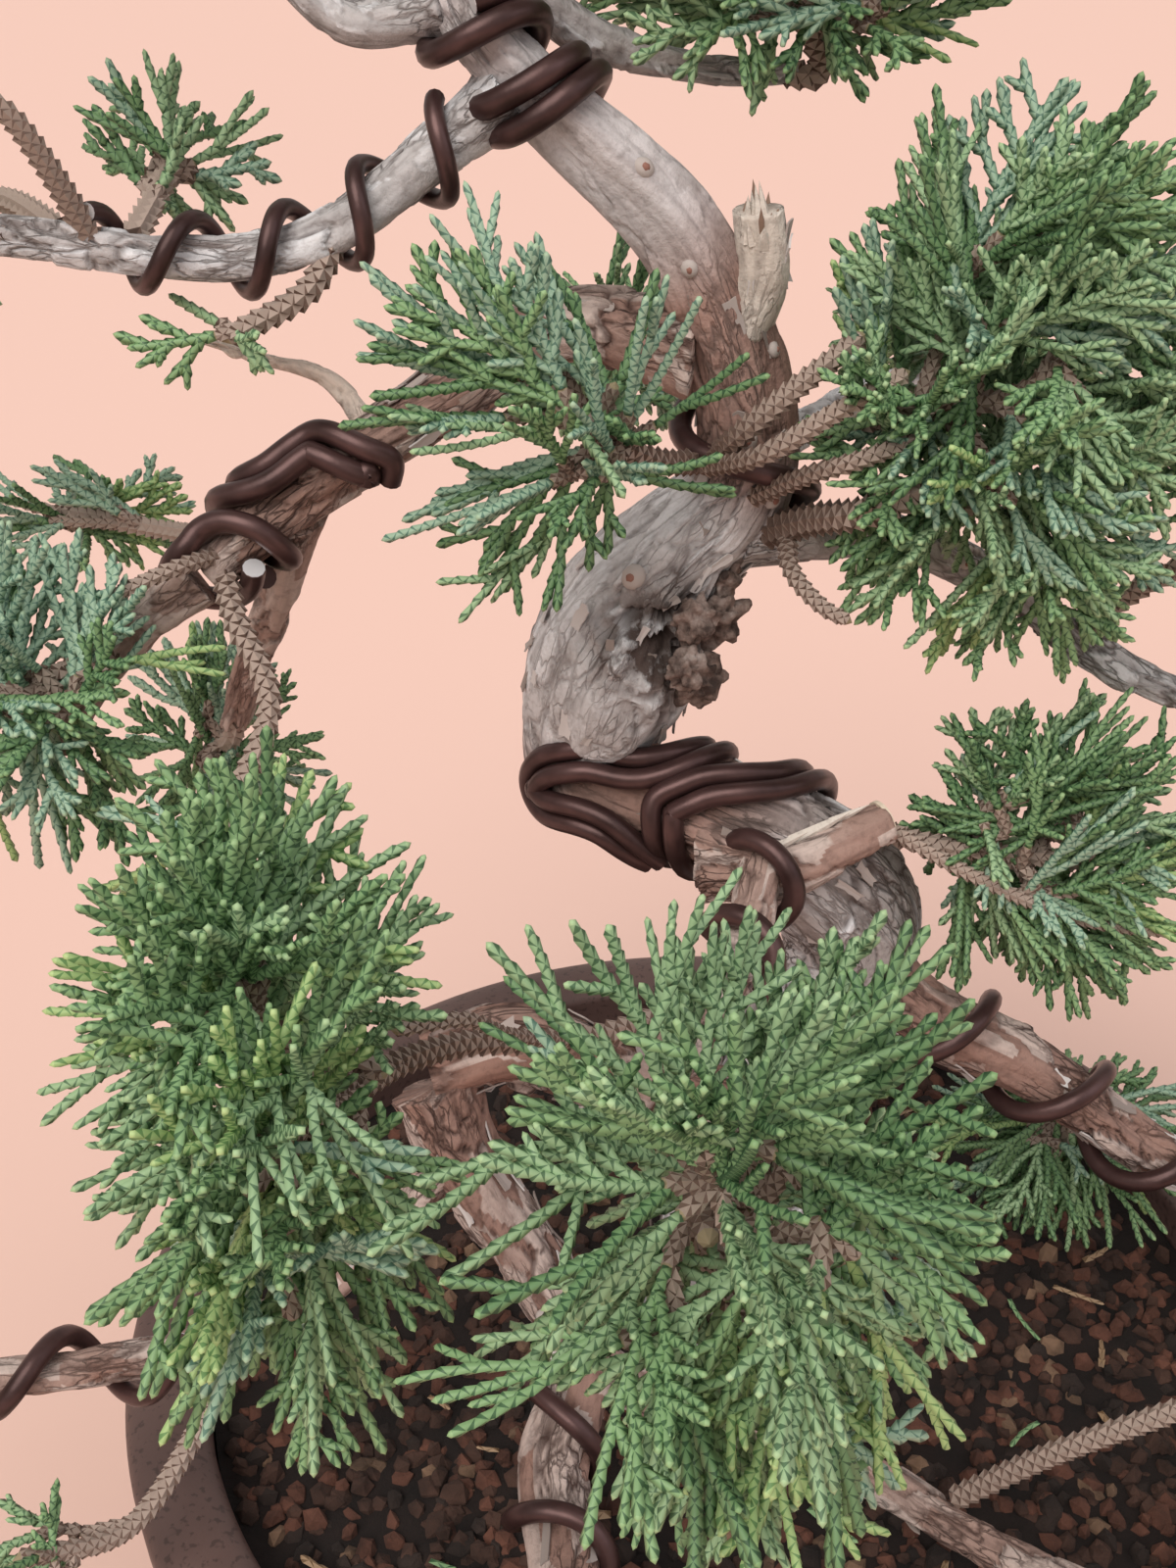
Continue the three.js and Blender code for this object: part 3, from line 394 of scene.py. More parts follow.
def grain_tree(shapes):
    """Geometry Nodes that set a pebble on every point, sized by the point's own value and turned freely."""
    tree, given, result = new_tree("scatter grains", "Grains", Points="Geometry", Grain_scale="Float",
                                   Seed="Int", Finish="Material")
    shapes_in = tree.nodes.new("GeometryNodeCollectionInfo")
    shapes_in.inputs["Collection"].default_value = shapes
    shapes_in.inputs["Separate Children"].default_value = True
    turn = tree.nodes.new("FunctionNodeRandomValue")
    turn.data_type = "FLOAT_VECTOR"
    turn.inputs["Max"].default_value = (math.tau, math.tau, math.tau)
    size = tree.nodes.new("GeometryNodeInputNamedAttribute")
    size.data_type = "FLOAT"
    size.inputs["Name"].default_value = "size"
    scaled = tree.nodes.new("ShaderNodeMath")
    scaled.operation = "MULTIPLY"
    placed = tree.nodes.new("GeometryNodeInstanceOnPoints")
    placed.inputs["Pick Instance"].default_value = True
    link = tree.links.new
    link(given.outputs["Seed"], turn.inputs["Seed"])
    link(size.outputs["Attribute"], scaled.inputs[0])
    link(given.outputs["Grain scale"], scaled.inputs[1])
    link(given.outputs["Points"], placed.inputs["Points"])
    link(shapes_in.outputs["Instances"], placed.inputs["Instance"])
    link(turn.outputs["Value"], placed.inputs["Rotation"])
    link(scaled.outputs["Value"], placed.inputs["Scale"])
    realized(tree, placed.outputs["Instances"], given, result)
    return tree


def grown(obj, tree, **inputs):
    """Runs a node tree on an object with named inputs and keeps the result as its plain mesh."""
    modifier = obj.modifiers.new(tree.name, "NODES")
    modifier.node_group = tree
    for item in tree.interface.items_tree:
        if item.in_out == "INPUT" and item.name in inputs:
            modifier[item.identifier] = inputs[item.name]
    obj.update_tag()
    bpy.context.view_layer.update()
    mesh = bpy.data.meshes.new_from_object(obj.evaluated_get(bpy.context.evaluated_depsgraph_get()))
    obj.modifiers.remove(modifier)
    mesh.name = obj.name
    obj.data = mesh


def baked_clay(name, code):
    """Dull fired clay with dusky patches and a gritty face."""
    made, tree, shader = material(name, 0.95)
    dusk = ramp(tree, noise_at(tree, 160, 3), [(0.3, "8c8c8c"), (0.7, "ffffff")])
    tree.links.new(blend(tree, 1.0, code, dusk, "MULTIPLY"), shader.inputs["Base Color"])
    bump(tree, shader, noise_at(tree, 1500, 3), 0.3, 0.8)
    return made


bed = add_object("soil_bed", soil_bed())
# The bed's near-black colour is painted shade: it shows only in the gaps between the grains.
bed.data.materials.append(baked_clay("dark soil", BED_SHADE_COLOUR))
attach(bed, "root")
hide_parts("soil")

grain_shapes = bpy.data.collections.new("grain shapes")
for shape_seed in range(GRAIN_SHAPES):
    shape = bpy.data.objects.new(f"grain_shape_{shape_seed}", grain_shape(shape_seed))
    grain_shapes.objects.link(shape)
scatter_grains = grain_tree(grain_shapes)
pebble_radii = PEBBLE_FIELD * np.sqrt((np.arange(PEBBLE_COUNT) + 0.5) / PEBBLE_COUNT)
pebble_turns = np.arange(PEBBLE_COUNT) * GOLDEN_ANGLE
clear_of_roots = pebble_radii >= ROOT_CLEARANCE
pebble_radii, pebble_turns = pebble_radii[clear_of_roots], pebble_turns[clear_of_roots]
for grain_seed, (kind, count) in enumerate(GRAIN_COUNTS.items()):
    dice = np.random.default_rng(GRAIN_SEED + grain_seed)
    radius = (RIM_INNER - GRAIN_ROOM) * np.sqrt(dice.uniform(0.012, 1, count))
    angle = dice.uniform(0, math.tau, count)
    size = dice.uniform(GRAIN_SMALLEST, GRAIN_LARGEST, count)
    sink = size * GRAIN_SUNK - dice.uniform(-0.8, 0.6, count)
    pebbles = slice(grain_seed, None, len(GRAIN_COUNTS))
    radius = np.r_[radius, pebble_radii[pebbles]]
    angle = np.r_[angle, pebble_turns[pebbles]]
    size = np.r_[size, np.full(len(radius) - count, PEBBLE_SIZE)]
    sink = np.r_[sink, np.full(len(radius) - count, PEBBLE_SINK)]
    spots = np.c_[radius * np.cos(angle), radius * np.sin(angle), soil_height(radius) - sink]
    points = bpy.data.meshes.new(f"grains_{kind}")
    points.from_pydata((spots * MM).tolist(), [], [])
    points.attributes.new("size", "FLOAT", "POINT").data.foreach_set("value", size)
    grains = add_object(f"grains_{kind}", points)
    grain_finish = baked_clay(f"{kind} clay", GRAIN_COLOURS[kind])
    grown(grains, scatter_grains, **{"Grain scale": MM, "Seed": grain_seed, "Finish": grain_finish})
    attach(grains, "root")


# Trunk
# The live trunk of an old dwarf juniper, bent with wire when it was young: it sweeps right, back left,
# right again and over to its crown. Plates of grey and pinkish bark flake off it, most at its elbow.
TRUNK_BASE_RADIUS = 11.5
TRUNK_TIP_RADIUS = 2.2
TRUNK_TAPER_POWER = 1.3
TRUNK_FALL = 290
FLARE_WIDTH = 6
FLARE_HEIGHT = 9
ROOT_LOBES = 5
ROOT_LOBE_DEPTH = 0.2
KNOT_SWELL = 4
KNOT_AT = 0.565
KNOT_SPREAD = 0.05
WAIST_DEPTH = 1.8
WAIST_AT = 0.44
WAIST_SPREAD = 0.03
BURR_PLACES = [(-12.5, -8.5, 181.5), (-7.5, -8, 175)]
BURR_REACH = 7.5
BARK_STEP = 0.62
BARK_START = 0.028
TRUNK_MUSCLE = 0.055
TRUNK_PLATE = (3.6, 8)
TRUNK_ROUTE = [
    (3, 2, 50), (0, 0, 72), (3, -2, 95), (11, 0, 116), (15.6, 2, 132.7), (7.1, -3, 148.1), (-4.3, -3, 154.7),
    (-14.3, 2, 155.6), (-20.4, 6, 157.5), (-20.6, 7, 163.6), (-17.9, 4, 174.3), (-14.2, 2, 183.9),
    (-9.6, 1, 190.1), (-3.3, 2, 197.5), (-3.5, 2, 208), (-11.5, 1, 227), (-28.6, 0, 243), (-34.8, 2, 251),
    (-32, 4, 260), (-18, 4, 272),
]


def flowing(route, per_span=40):
    """Points of a centripetal Catmull-Rom curve through a route."""
    points = np.array(route, float)
    posts = np.vstack([2 * points[0] - points[1], points, 2 * points[-1] - points[-2]])
    spans = []
    for i in range(len(points) - 1):
        a, b, c, d = posts[i : i + 4]
        ab, bc, cd = (np.linalg.norm(q - p) ** 0.5 for p, q in ((a, b), (b, c), (c, d)))
        leave = ((b - a) / ab - (c - a) / (ab + bc) + (c - b) / bc) * bc
        arrive = ((c - b) / bc - (d - b) / (bc + cd) + (d - c) / cd) * bc
        t = np.linspace(0, 1, per_span, endpoint=i == len(points) - 2)[:, None]
        square = 3 * c - 3 * b - 2 * leave - arrive
        cube = 2 * b - 2 * c + leave + arrive
        spans.append(b + leave * t + square * t**2 + cube * t**3)
    return np.vstack(spans)


def unit(v):
    """Directions drawn to the length one."""
    return v / np.linalg.norm(v, axis=-1, keepdims=True)


class Limb:
    """A tapering limb along a route. A share runs from 0 at its root to 1 at its tip."""

    def __init__(self, route, root_radius=0, tip_radius=0, radius=None):
        self.points = flowing(route)
        self.arc = np.r_[0, np.cumsum(np.linalg.norm(np.diff(self.points, axis=0), axis=1))]
        self.length = self.arc[-1]
        self.radius = radius or (lambda share: root_radius + (tip_radius - root_radius) * np.asarray(share))

    def at(self, share):
        """Points of the middle line."""
        where = np.asarray(share) * self.length
        return np.stack([np.interp(where, self.arc, self.points[:, k]) for k in range(3)], -1)

    def heading(self, share):
        """The ways that the middle line runs."""
        share = np.asarray(share)
        return unit(self.at(np.clip(share + 0.005, 0, 1)) - self.at(np.clip(share - 0.005, 0, 1)))


def trunk_radius(share, angle=0):
    """The trunk tapers upward, with lobed root flare, a waist under the wires and a swollen knot above."""
    share = np.asarray(share)
    height = np.maximum(0, share * TRUNK_FALL - (SOIL_TOP - TRUNK_ROUTE[0][2]))
    spread = np.exp(-height / FLARE_HEIGHT)
    lobes = 1 + ROOT_LOBE_DEPTH * np.cos(ROOT_LOBES * angle) * spread
    knot = KNOT_SWELL * np.exp(-(((share - KNOT_AT) / KNOT_SPREAD) ** 2))
    knot = knot - WAIST_DEPTH * np.exp(-(((share - WAIST_AT) / WAIST_SPREAD) ** 2))
    taper = share**TRUNK_TAPER_POWER * (TRUNK_BASE_RADIUS - TRUNK_TIP_RADIUS)
    return (TRUNK_BASE_RADIUS - taper + FLARE_WIDTH * spread) * lobes + knot


trunk = Limb(TRUNK_ROUTE, radius=trunk_radius)


def trunk_warmth(share):
    """The bark is redder at the elbow between the wires, and where the upper boughs leave."""
    places = [0.38, 0.43, 0.49, 0.52, 0.64, 0.68, 0.75, 0.79, 1]
    return np.interp(share, places, [0, 1, 1, 0, 0, 1, 1, 0.25, 0.3])


def trunk_rough(share):
    """The bark is coarse low down and at the elbow, and smooth above it."""
    places = [0, 0.4, 0.49, 0.61, 0.67, 0.74, 0.79, 0.84, 0.9, 1]
    return np.interp(share, places, [1, 0.9, 0.5, 0.32, 0.6, 0.6, 0.16, 0.16, 0.55, 0.7])


def cross_frames(limb, shares):
    """Middle points of a limb with its heading and two square directions that twist as little as they can."""
    centres, headings = limb.at(shares), limb.heading(shares)
    side = np.cross(headings[0], (0.3, -1, 0.2))
    sides = []
    for heading in headings:
        side = side - heading * side.dot(heading)
        side = side / np.linalg.norm(side)
        sides.append(side)
    sides = np.array(sides)
    return centres, headings, sides, np.cross(headings, sides)


def cloud_at(x, y, along, width, length, shift):
    """Noise in patches of a width round the limb and a length along it."""
    return noise.noise(Vector((x / width, y / width, along / length)) + shift)


def burr_relief(place):
    """The height of the wrinkled wood in a burr, and how deep its folds are."""
    fold = abs(noise.noise(place * 0.34 + noise.noise_vector(place * 0.2) * 0.8))
    height = 2.6 * noise.noise(place * 0.22) - 4.5 * fold + 1.0 * noise.noise(place * 0.9) + 0.9
    return height, min(1, max(0, 5 * fold - 0.7))


def bark_relief(around, along, rough, plate, shift, burr, spot_in_air):
    """Height, crack depth and plate shade of bark at a place on a limb unrolled to a round sheet."""
    x, y = around
    spot = Vector((x / plate[0], y / plate[0], along / plate[1])) + shift
    spot += noise.noise_vector(spot * 1.3) * 0.35
    near, cells = noise.voronoi(spot)
    shade = noise.cell(cells[0] * 9.7)
    lift = (spot - cells[0]).dot(noise.cell_vector(cells[0] * 5.3) - Vector((0.5, 0.5, 0.5)))
    broken = min(1, max(0, 0.5 + 2.5 * noise.noise(spot * 0.45 + shift)))
    crack = max(0, 1 - (near[1] - near[0]) / 0.1) * broken
    fibre = cloud_at(x, y, along, 0.8, 9, shift)
    height = rough * (0.7 * (shade - 0.5) * broken + 0.9 * lift - 0.5 * crack + 0.26 * fibre)
    height += 0.05 * cloud_at(x, y, along, 0.45, 1.6, shift)
    height += (0.8 + 0.3 * rough) * cloud_at(x, y, along, 4, 34, shift)
    if burr > 0.02:
        rise, fold = burr_relief(Vector(spot_in_air))
        height += burr * rise
        crack = max(crack, burr * fold)
    return height, crack * min(1, 0.15 + rough), shade


def burrs(spots):
    """How deep each spot lies in the burr on the knot, from 0 to 1."""
    away = np.min([np.linalg.norm(spots - place, axis=-1) for place in BURR_PLACES], axis=0)
    return np.clip(1.5 * np.exp(-((away / BURR_REACH) ** 2)) - 0.1, 0, 1)


def bark_radii(limb, shares, angles, along, widest, seed, muscle, collar):
    """A limb's distances from middle line to bark before relief: its taper, its collar and its muscles."""
    if limb is trunk:
        radius = trunk_radius(shares[:, None], angles[None, :])
    else:
        radius = limb.radius(shares[:, None])
    radius = radius * (1 + collar * np.exp(-along / (1.2 * widest)))[:, None]
    lobes = np.cos(3 * angles + along[:, None] / 17 + seed) + 0.6 * np.cos(5 * angles - along[:, None] / 11)
    return radius * (1 + muscle * lobes)


def bark_skin(name, limb, start, gap, rough, seed, plate, muscle, collar=0.0):
    """A closed skin of bark round a limb: relief in the mesh, shades as values of its points."""
    rings = max(8, math.ceil(limb.length * (1 - start) / gap))
    widest = float(np.max(limb.radius(np.linspace(start, 1, 20))))
    turns = max(14, math.ceil(math.tau * widest / gap))
    shares = np.linspace(start, 1, rings + 1)
    angles = np.arange(turns) * math.tau / turns
    centres, _, sides, lifts = cross_frames(limb, shares)
    along = (shares - start) * limb.length
    radius = bark_radii(limb, shares, angles, along, widest, seed, muscle, collar)
    outward = sides[:, None] * np.cos(angles)[:, None] + lifts[:, None] * np.sin(angles)[:, None]
    surface = centres[:, None] + outward * radius[..., None]
    burr = burrs(surface) if limb is trunk else np.zeros(radius.shape)
    coarse = np.clip(rough(shares)[:, None] + burr, 0, 1)
    warmth = trunk_warmth(shares) if limb is trunk else np.zeros(len(shares))
    x, y = np.cos(angles) * radius, np.sin(angles) * radius
    shift = Vector((seed * 3.1, seed * 7.7, seed * 1.3))
    values = np.zeros((rings + 1, turns, 3))
    for i, length in enumerate(along.tolist()):
        for j in range(turns):
            spot = (x[i, j], y[i, j])
            values[i, j] = bark_relief(spot, length, coarse[i, j], plate, shift, burr[i, j], surface[i, j])
    points = centres[:, None] + outward * (radius + values[..., 0])[..., None]
    # The crack depth also goes to the material, where it darkens the bark, partly as painted shade in the
    # cracks.
    shades = {"crack": values[..., 1], "plate": values[..., 2], "rough": coarse, "burr": burr,
              "warmth": np.repeat(warmth[:, None], turns, 1)}
    return skin_mesh(name, points, centres, shades, np.stack([x, y, np.repeat(along[:, None], turns, 1)], -1))


def skin_mesh(name, points, centres, shades, sheet):
    """The closed mesh of a skin, from its rings of points and the shades and sheet places of each point."""
    rings, turns = points.shape[:2]
    everything = np.vstack([points.reshape(-1, 3), centres[:1], centres[-1:]])
    corner = np.arange(rings * turns).reshape(rings, turns)
    onward = np.roll(corner, -1, axis=1)
    quads = np.stack([corner[:-1], onward[:-1], onward[1:], corner[1:]], -1).reshape(-1, 4)
    root, tip = rings * turns, rings * turns + 1
    caps = [(root, onward[0, j], corner[0, j]) for j in range(turns)]
    caps += [(tip, corner[-1, j], onward[-1, j]) for j in range(turns)]
    mesh = bpy.data.meshes.new(name)
    mesh.from_pydata((everything * MM).tolist(), [], quads.tolist() + caps)
    mesh.shade_smooth()
    for kind, amount in shades.items():
        layer = mesh.attributes.new(kind, "FLOAT", "POINT")
        layer.data.foreach_set("value", np.r_[amount.ravel(), 0.5, 0.5].astype(np.float32))
    layer = mesh.attributes.new("sheet", "FLOAT_VECTOR", "POINT")
    places = np.vstack([sheet.reshape(-1, 3), np.zeros((2, 3))])
    layer.data.foreach_set("vector", places.astype(np.float32).ravel())
    return mesh


def value_of(tree, kind):
    """A shade that the skin's points carry."""
    node = tree.nodes.new("ShaderNodeAttribute")
    node.attribute_name = kind
    return node.outputs["Fac"]


def maths(tree, operation, first, second):
    """A sum of two sockets or numbers, held between zero and one."""
    node = tree.nodes.new("ShaderNodeMath")
    node.operation = operation
    node.use_clamp = True
    for socket, value in zip(node.inputs, (first, second)):
        if isinstance(value, (int, float)):
            socket.default_value = value
        else:
            tree.links.new(value, socket)
    return node.outputs["Value"]


def on_sheet(tree, around, along, wander=0.0):
    """Places on the unrolled bark, counted in cells of a width round the limb and a length along it."""
    sheet = tree.nodes.new("ShaderNodeAttribute")
    sheet.attribute_name = "sheet"
    mapping = tree.nodes.new("ShaderNodeMapping")
    mapping.inputs["Scale"].default_value = (1 / around, 1 / around, 1 / along)
    tree.links.new(sheet.outputs["Vector"], mapping.inputs["Vector"])
    if not wander:
        return mapping.outputs["Vector"]
    cloud = tree.nodes.new("ShaderNodeTexNoise")
    cloud.inputs["Scale"].default_value = 1.4
    cloud.inputs["Detail"].default_value = 4
    tree.links.new(mapping.outputs["Vector"], cloud.inputs["Vector"])
    shifted = tree.nodes.new("ShaderNodeVectorMath")
    shifted.operation = "MULTIPLY_ADD"
    shifted.inputs[1].default_value = (wander, wander, wander)
    tree.links.new(cloud.outputs["Color"], shifted.inputs[0])
    tree.links.new(mapping.outputs["Vector"], shifted.inputs[2])
    return shifted.outputs["Vector"]


def fissures(tree, around, along, width):
    """One in the cracks between long plates of bark, and zero on the plates."""
    cells = tree.nodes.new("ShaderNodeTexVoronoi")
    cells.feature = "DISTANCE_TO_EDGE"
    cells.inputs["Scale"].default_value = 1
    tree.links.new(on_sheet(tree, around, along, 0.9), cells.inputs["Vector"])
    reach = tree.nodes.new("ShaderNodeMapRange")
    reach.inputs["From Max"].default_value = width
    reach.inputs["To Min"].default_value = 1
    reach.inputs["To Max"].default_value = 0
    tree.links.new(cells.outputs["Distance"], reach.inputs["Value"])
    return reach.outputs["Result"]


def sheet_noise(tree, around, along, detail=4):
    """Cloudy noise drawn out along the unrolled bark."""
    cloud = tree.nodes.new("ShaderNodeTexNoise")
    cloud.inputs["Scale"].default_value = 1
    cloud.inputs["Detail"].default_value = detail
    tree.links.new(on_sheet(tree, around, along), cloud.inputs["Vector"])
    return cloud.outputs["Fac"]


def juniper_bark(name, pale, warm, dark):
    """Bark: pale smooth skin, warm flaking plates, and fissures between them in a dark colour that is partly
    the inner bark's own and partly painted shade.
    """
    made, tree, shader = material(name, 0.85)
    rough = value_of(tree, "rough")
    mottle = noise_at(tree, 110, 5, 0.6)
    smooth = ramp(tree, mottle, [(0.4, pale), (0.56, pale), (0.7, warm)])
    plates = ramp(tree, value_of(tree, "plate"), [(0.05, warm), (0.4, pale), (1.0, pale)])
    worn = blend(tree, rough, smooth, plates)
    stain = blend(tree, rescale(tree, noise_at(tree, 45, 4), -1.3, 1.1), worn, warm)
    streaks = ramp(tree, sheet_noise(tree, 1.4, 14), [(0.35, "b6b2b2"), (0.55, "ffffff")])
    body = blend(tree, 0.45, stain, streaks, "MULTIPLY")
    body = blend(tree, 1.0, body, blend(tree, value_of(tree, "warmth"), "ffffff", "c09c8e"), "MULTIPLY")
    fleck = ramp(tree, noise_at(tree, 900, 4), [(0.3, "a5a09e"), (0.5, "ffffff")])
    body = blend(tree, 0.4, body, fleck, "MULTIPLY")
    broken = ramp(tree, sheet_noise(tree, 8, 16, 2), [(0.42, "000000"), (0.56, "ffffff")])
    torn = maths(tree, "MULTIPLY", maths(tree, "MULTIPLY", rough, 1.2), broken)
    wide = maths(tree, "MULTIPLY", fissures(tree, 3.4, 11, 0.09), torn)
    thin = maths(tree, "MULTIPLY", fissures(tree, 1.5, 5, 0.07), maths(tree, "MULTIPLY", torn, 0.8))
    cracks_and_shade = maths(tree, "MAXIMUM", maths(tree, "MAXIMUM", wide, thin), value_of(tree, "crack"))
    hollows = ramp(tree, noise_at(tree, 240, 6, 0.65), [(0.42, "000000"), (0.56, "ffffff")])
    cracks_and_shade = maths(tree, "MAXIMUM", cracks_and_shade, maths(tree, "MULTIPLY", hollows, value_of(tree, "burr")))
    # The fissures and the burr's hollows take the dark colour: partly the dark inner bark, partly painted
    # shade in these recesses.
    tree.links.new(blend(tree, cracks_and_shade, body, dark), shader.inputs["Base Color"])
    grain = maths(tree, "MULTIPLY_ADD", noise_at(tree, 1300, 5, 0.65), 0.35)
    grain.node.inputs[2].default_value = 0.5
    bump(tree, shader, maths(tree, "SUBTRACT", grain, maths(tree, "MULTIPLY", cracks_and_shade, 0.6)), 0.9, 0.8)
    return made


grey_bark = juniper_bark("grey juniper bark", "dee0e4", "a5a09f", "4a3e3a")
skin = bark_skin("bark_trunk", trunk, BARK_START, BARK_STEP, trunk_rough, 1, TRUNK_PLATE, TRUNK_MUSCLE)
trunk_bark = add_object("bark_trunk", skin)
skin.materials.append(grey_bark)
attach(trunk_bark, "root")
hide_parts("trunk")


# Boughs
# Each bough is a tapering side limb, wired down into its line. It swells a little where it leaves
# its host and ends inside a pad of foliage. Their bark is the trunk's, finer towards the tips.
BOUGH_STEP = 0.5
BOUGH_MUSCLE = 0.05
BOUGH_COLLAR = 0.35
THIN_BOUGH = 1.5
BOUGHS = {
    "bough_left": ("trunk", 4.6, 3.5, [(-7, 2, 214), (-25, 7, 215), (-37, 2, 209), (-55.6, -3, 198),
        (-66, -6, 190.5)]),
    "bough_left_outer": ("bough_left", 2.6, 2, [(-65, -6, 191), (-72, -8, 186), (-79, -10, 179.5),
        (-84.5, -13, 170.5)]),
    "bough_left_rear": ("bough_left", 3, 2, [(-55, -3, 198), (-60, 6, 183), (-67, 16, 167),
        (-71, 20, 156)]),
    "bough_upper_left": ("trunk", 3, 1.8, [(-28, 0, 242.5), (-37.9, -2, 235.4), (-47.5, -4, 228.8),
        (-58, -5, 226), (-83.4, -6, 228.3)]),
    "bough_crown_left": ("trunk", 2.6, 1.8, [(-34, 2, 250), (-46, 4, 248), (-54, 5, 254)]),
    "bough_crown_right": ("trunk", 2.4, 1.6, [(-33, 4, 257), (-21, 10, 246), (-8, 14, 242),
        (2, 16, 241.5)]),
    "bough_crown_back": ("trunk", 2, 1.5, [(-26, 4, 265), (-20, 22, 262), (-12, 38, 261)]),
    "bough_back": ("trunk", 2.8, 1.9, [(-4, 2, 212), (-9, 22, 207), (-14, 46, 202)]),
    "bough_back_right": ("trunk", 3, 1.9, [(-3.4, 2, 200), (10, 27, 198), (26, 52, 196)]),
    "bough_right": ("trunk", 3.4, 2.3, [(-7, 1, 192), (6.4, 6, 190), (16, 10, 189), (31, 14, 181),
        (50, 12, 168), (64, 10, 163)]),
    "bough_right_back": ("bough_right", 2, 1.6, [(61, 10.5, 164), (76, 32, 160), (88, 48, 154)]),
    "bough_right_low": ("trunk", 5, 3.2, [(13, 1, 131), (23, -5, 125), (40, -6, 115.7), (62.8, -8, 99.5),
        (84, -9, 93)]),
    "bough_front": ("trunk", 3.2, 2.3, [(5, 3, 152), (0, -13, 152), (-2.4, -22, 148.7), (-8, -40, 152),
        (-13, -58, 160)]),
    "bough_low_arch": ("trunk", 6.4, 5.2, [(4, -2, 102), (-15, -8, 114), (-31, -12, 125),
        (-42.5, -15, 123)]),
    "bough_low_front": ("bough_low_arch", 5, 3.3, [(-42, -15, 121.5), (-37, -20, 110), (-28.7, -25, 97.6),
        (-22.7, -31, 85), (-25.9, -42, 78), (-24.5, -55, 76.5), (-25, -78, 80), (-25, -98, 87)]),
    "bough_low_right": ("bough_low_front", 3.3, 2.2, [(-22.7, -31, 84.5), (0, -33, 75), (13.6, -36, 71.5),
        (29.3, -50, 74), (45, -66, 82)]),
    "bough_low_left": ("bough_low_front", 3.3, 2.4, [(-39, -18.5, 114), (-49, -20, 100), (-64.7, -30, 92),
        (-84.9, -38, 92.6), (-106, -42, 95)]),
    "stub_deadwood": ("trunk", 3.1, 2.4, [(-5, 2, 216), (-2.6, -1, 223), (-3.4, -2, 230)]),
    "stub_cut": ("trunk", 4.2, 2.9, [(-6, -7, 151), (2, -10.5, 152), (10, -9, 154.6), (16, -6, 156)]),
    "twig_bleached": ("bough_left", 1.3, 0.7, [(-46, 0, 204), (-51, 0, 211), (-60, 0, 214),
        (-66, -2, 216.5)]),
}
DEAD_WOOD = ("stub_deadwood", "twig_bleached")
RED_BARKED = ("bough_low_", "bough_left", "bough_right_low", "bough_front", "stub_cut")
UNWIRED = ("bough_crown_right", "bough_crown_back", "bough_right_back", "bough_low_right", "stub_cut",
           "twig_bleached")
limbs = {"trunk": trunk}
for name, (host, root_radius, tip_radius, route) in BOUGHS.items():
    limbs[name] = Limb(route, root_radius, tip_radius)


def leaves_host(limb, host):
    """The share at which a limb's middle line comes out of its host's wood."""
    shares = np.linspace(0, 0.6, 61)
    spots = host.at(np.linspace(0, 1, 400))
    radii = np.broadcast_to(host.radius(np.linspace(0, 1, 400)), 400)
    for share in shares:
        away = np.linalg.norm(spots - limb.at(share), axis=1) - 0.45 * radii
        if away.min() > 0:
            return share
    return 0.0


red_bark = juniper_bark("red-brown juniper bark", "c8b8b1", "957468", "432e28")
bleached = juniper_bark("bleached deadwood", "dcd5cc", "b5a99e", "75675d")
bleached_twig = juniper_bark("bleached twig", "f6eae0", "e2cfc1", "a38f80")
for order, (name, (host, root_radius, tip_radius, route)) in enumerate(BOUGHS.items()):
    limb = limbs[name]
    dead = name in DEAD_WOOD
    plate_size = (1.1 + 0.4 * root_radius, 3 + root_radius)
    coarse = 0.35 if dead else 0.3 + 0.12 * root_radius
    collar = 0.0 if root_radius < THIN_BOUGH else BOUGH_COLLAR
    made_name, start = f"bark_{name}", leaves_host(limb, limbs[host])
    skin = bark_skin(made_name, limb, start, BOUGH_STEP, lambda share, c=coarse: np.full(len(share), c),
                     2 + order, plate_size, BOUGH_MUSCLE, collar)
    wood = red_bark if name.startswith(RED_BARKED) else grey_bark
    if dead:
        wood = bleached_twig if name == "twig_bleached" else bleached
    skin.materials.append(wood)
    bough_bark = add_object(made_name, skin)
    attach(bough_bark, "root")
    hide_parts(name)


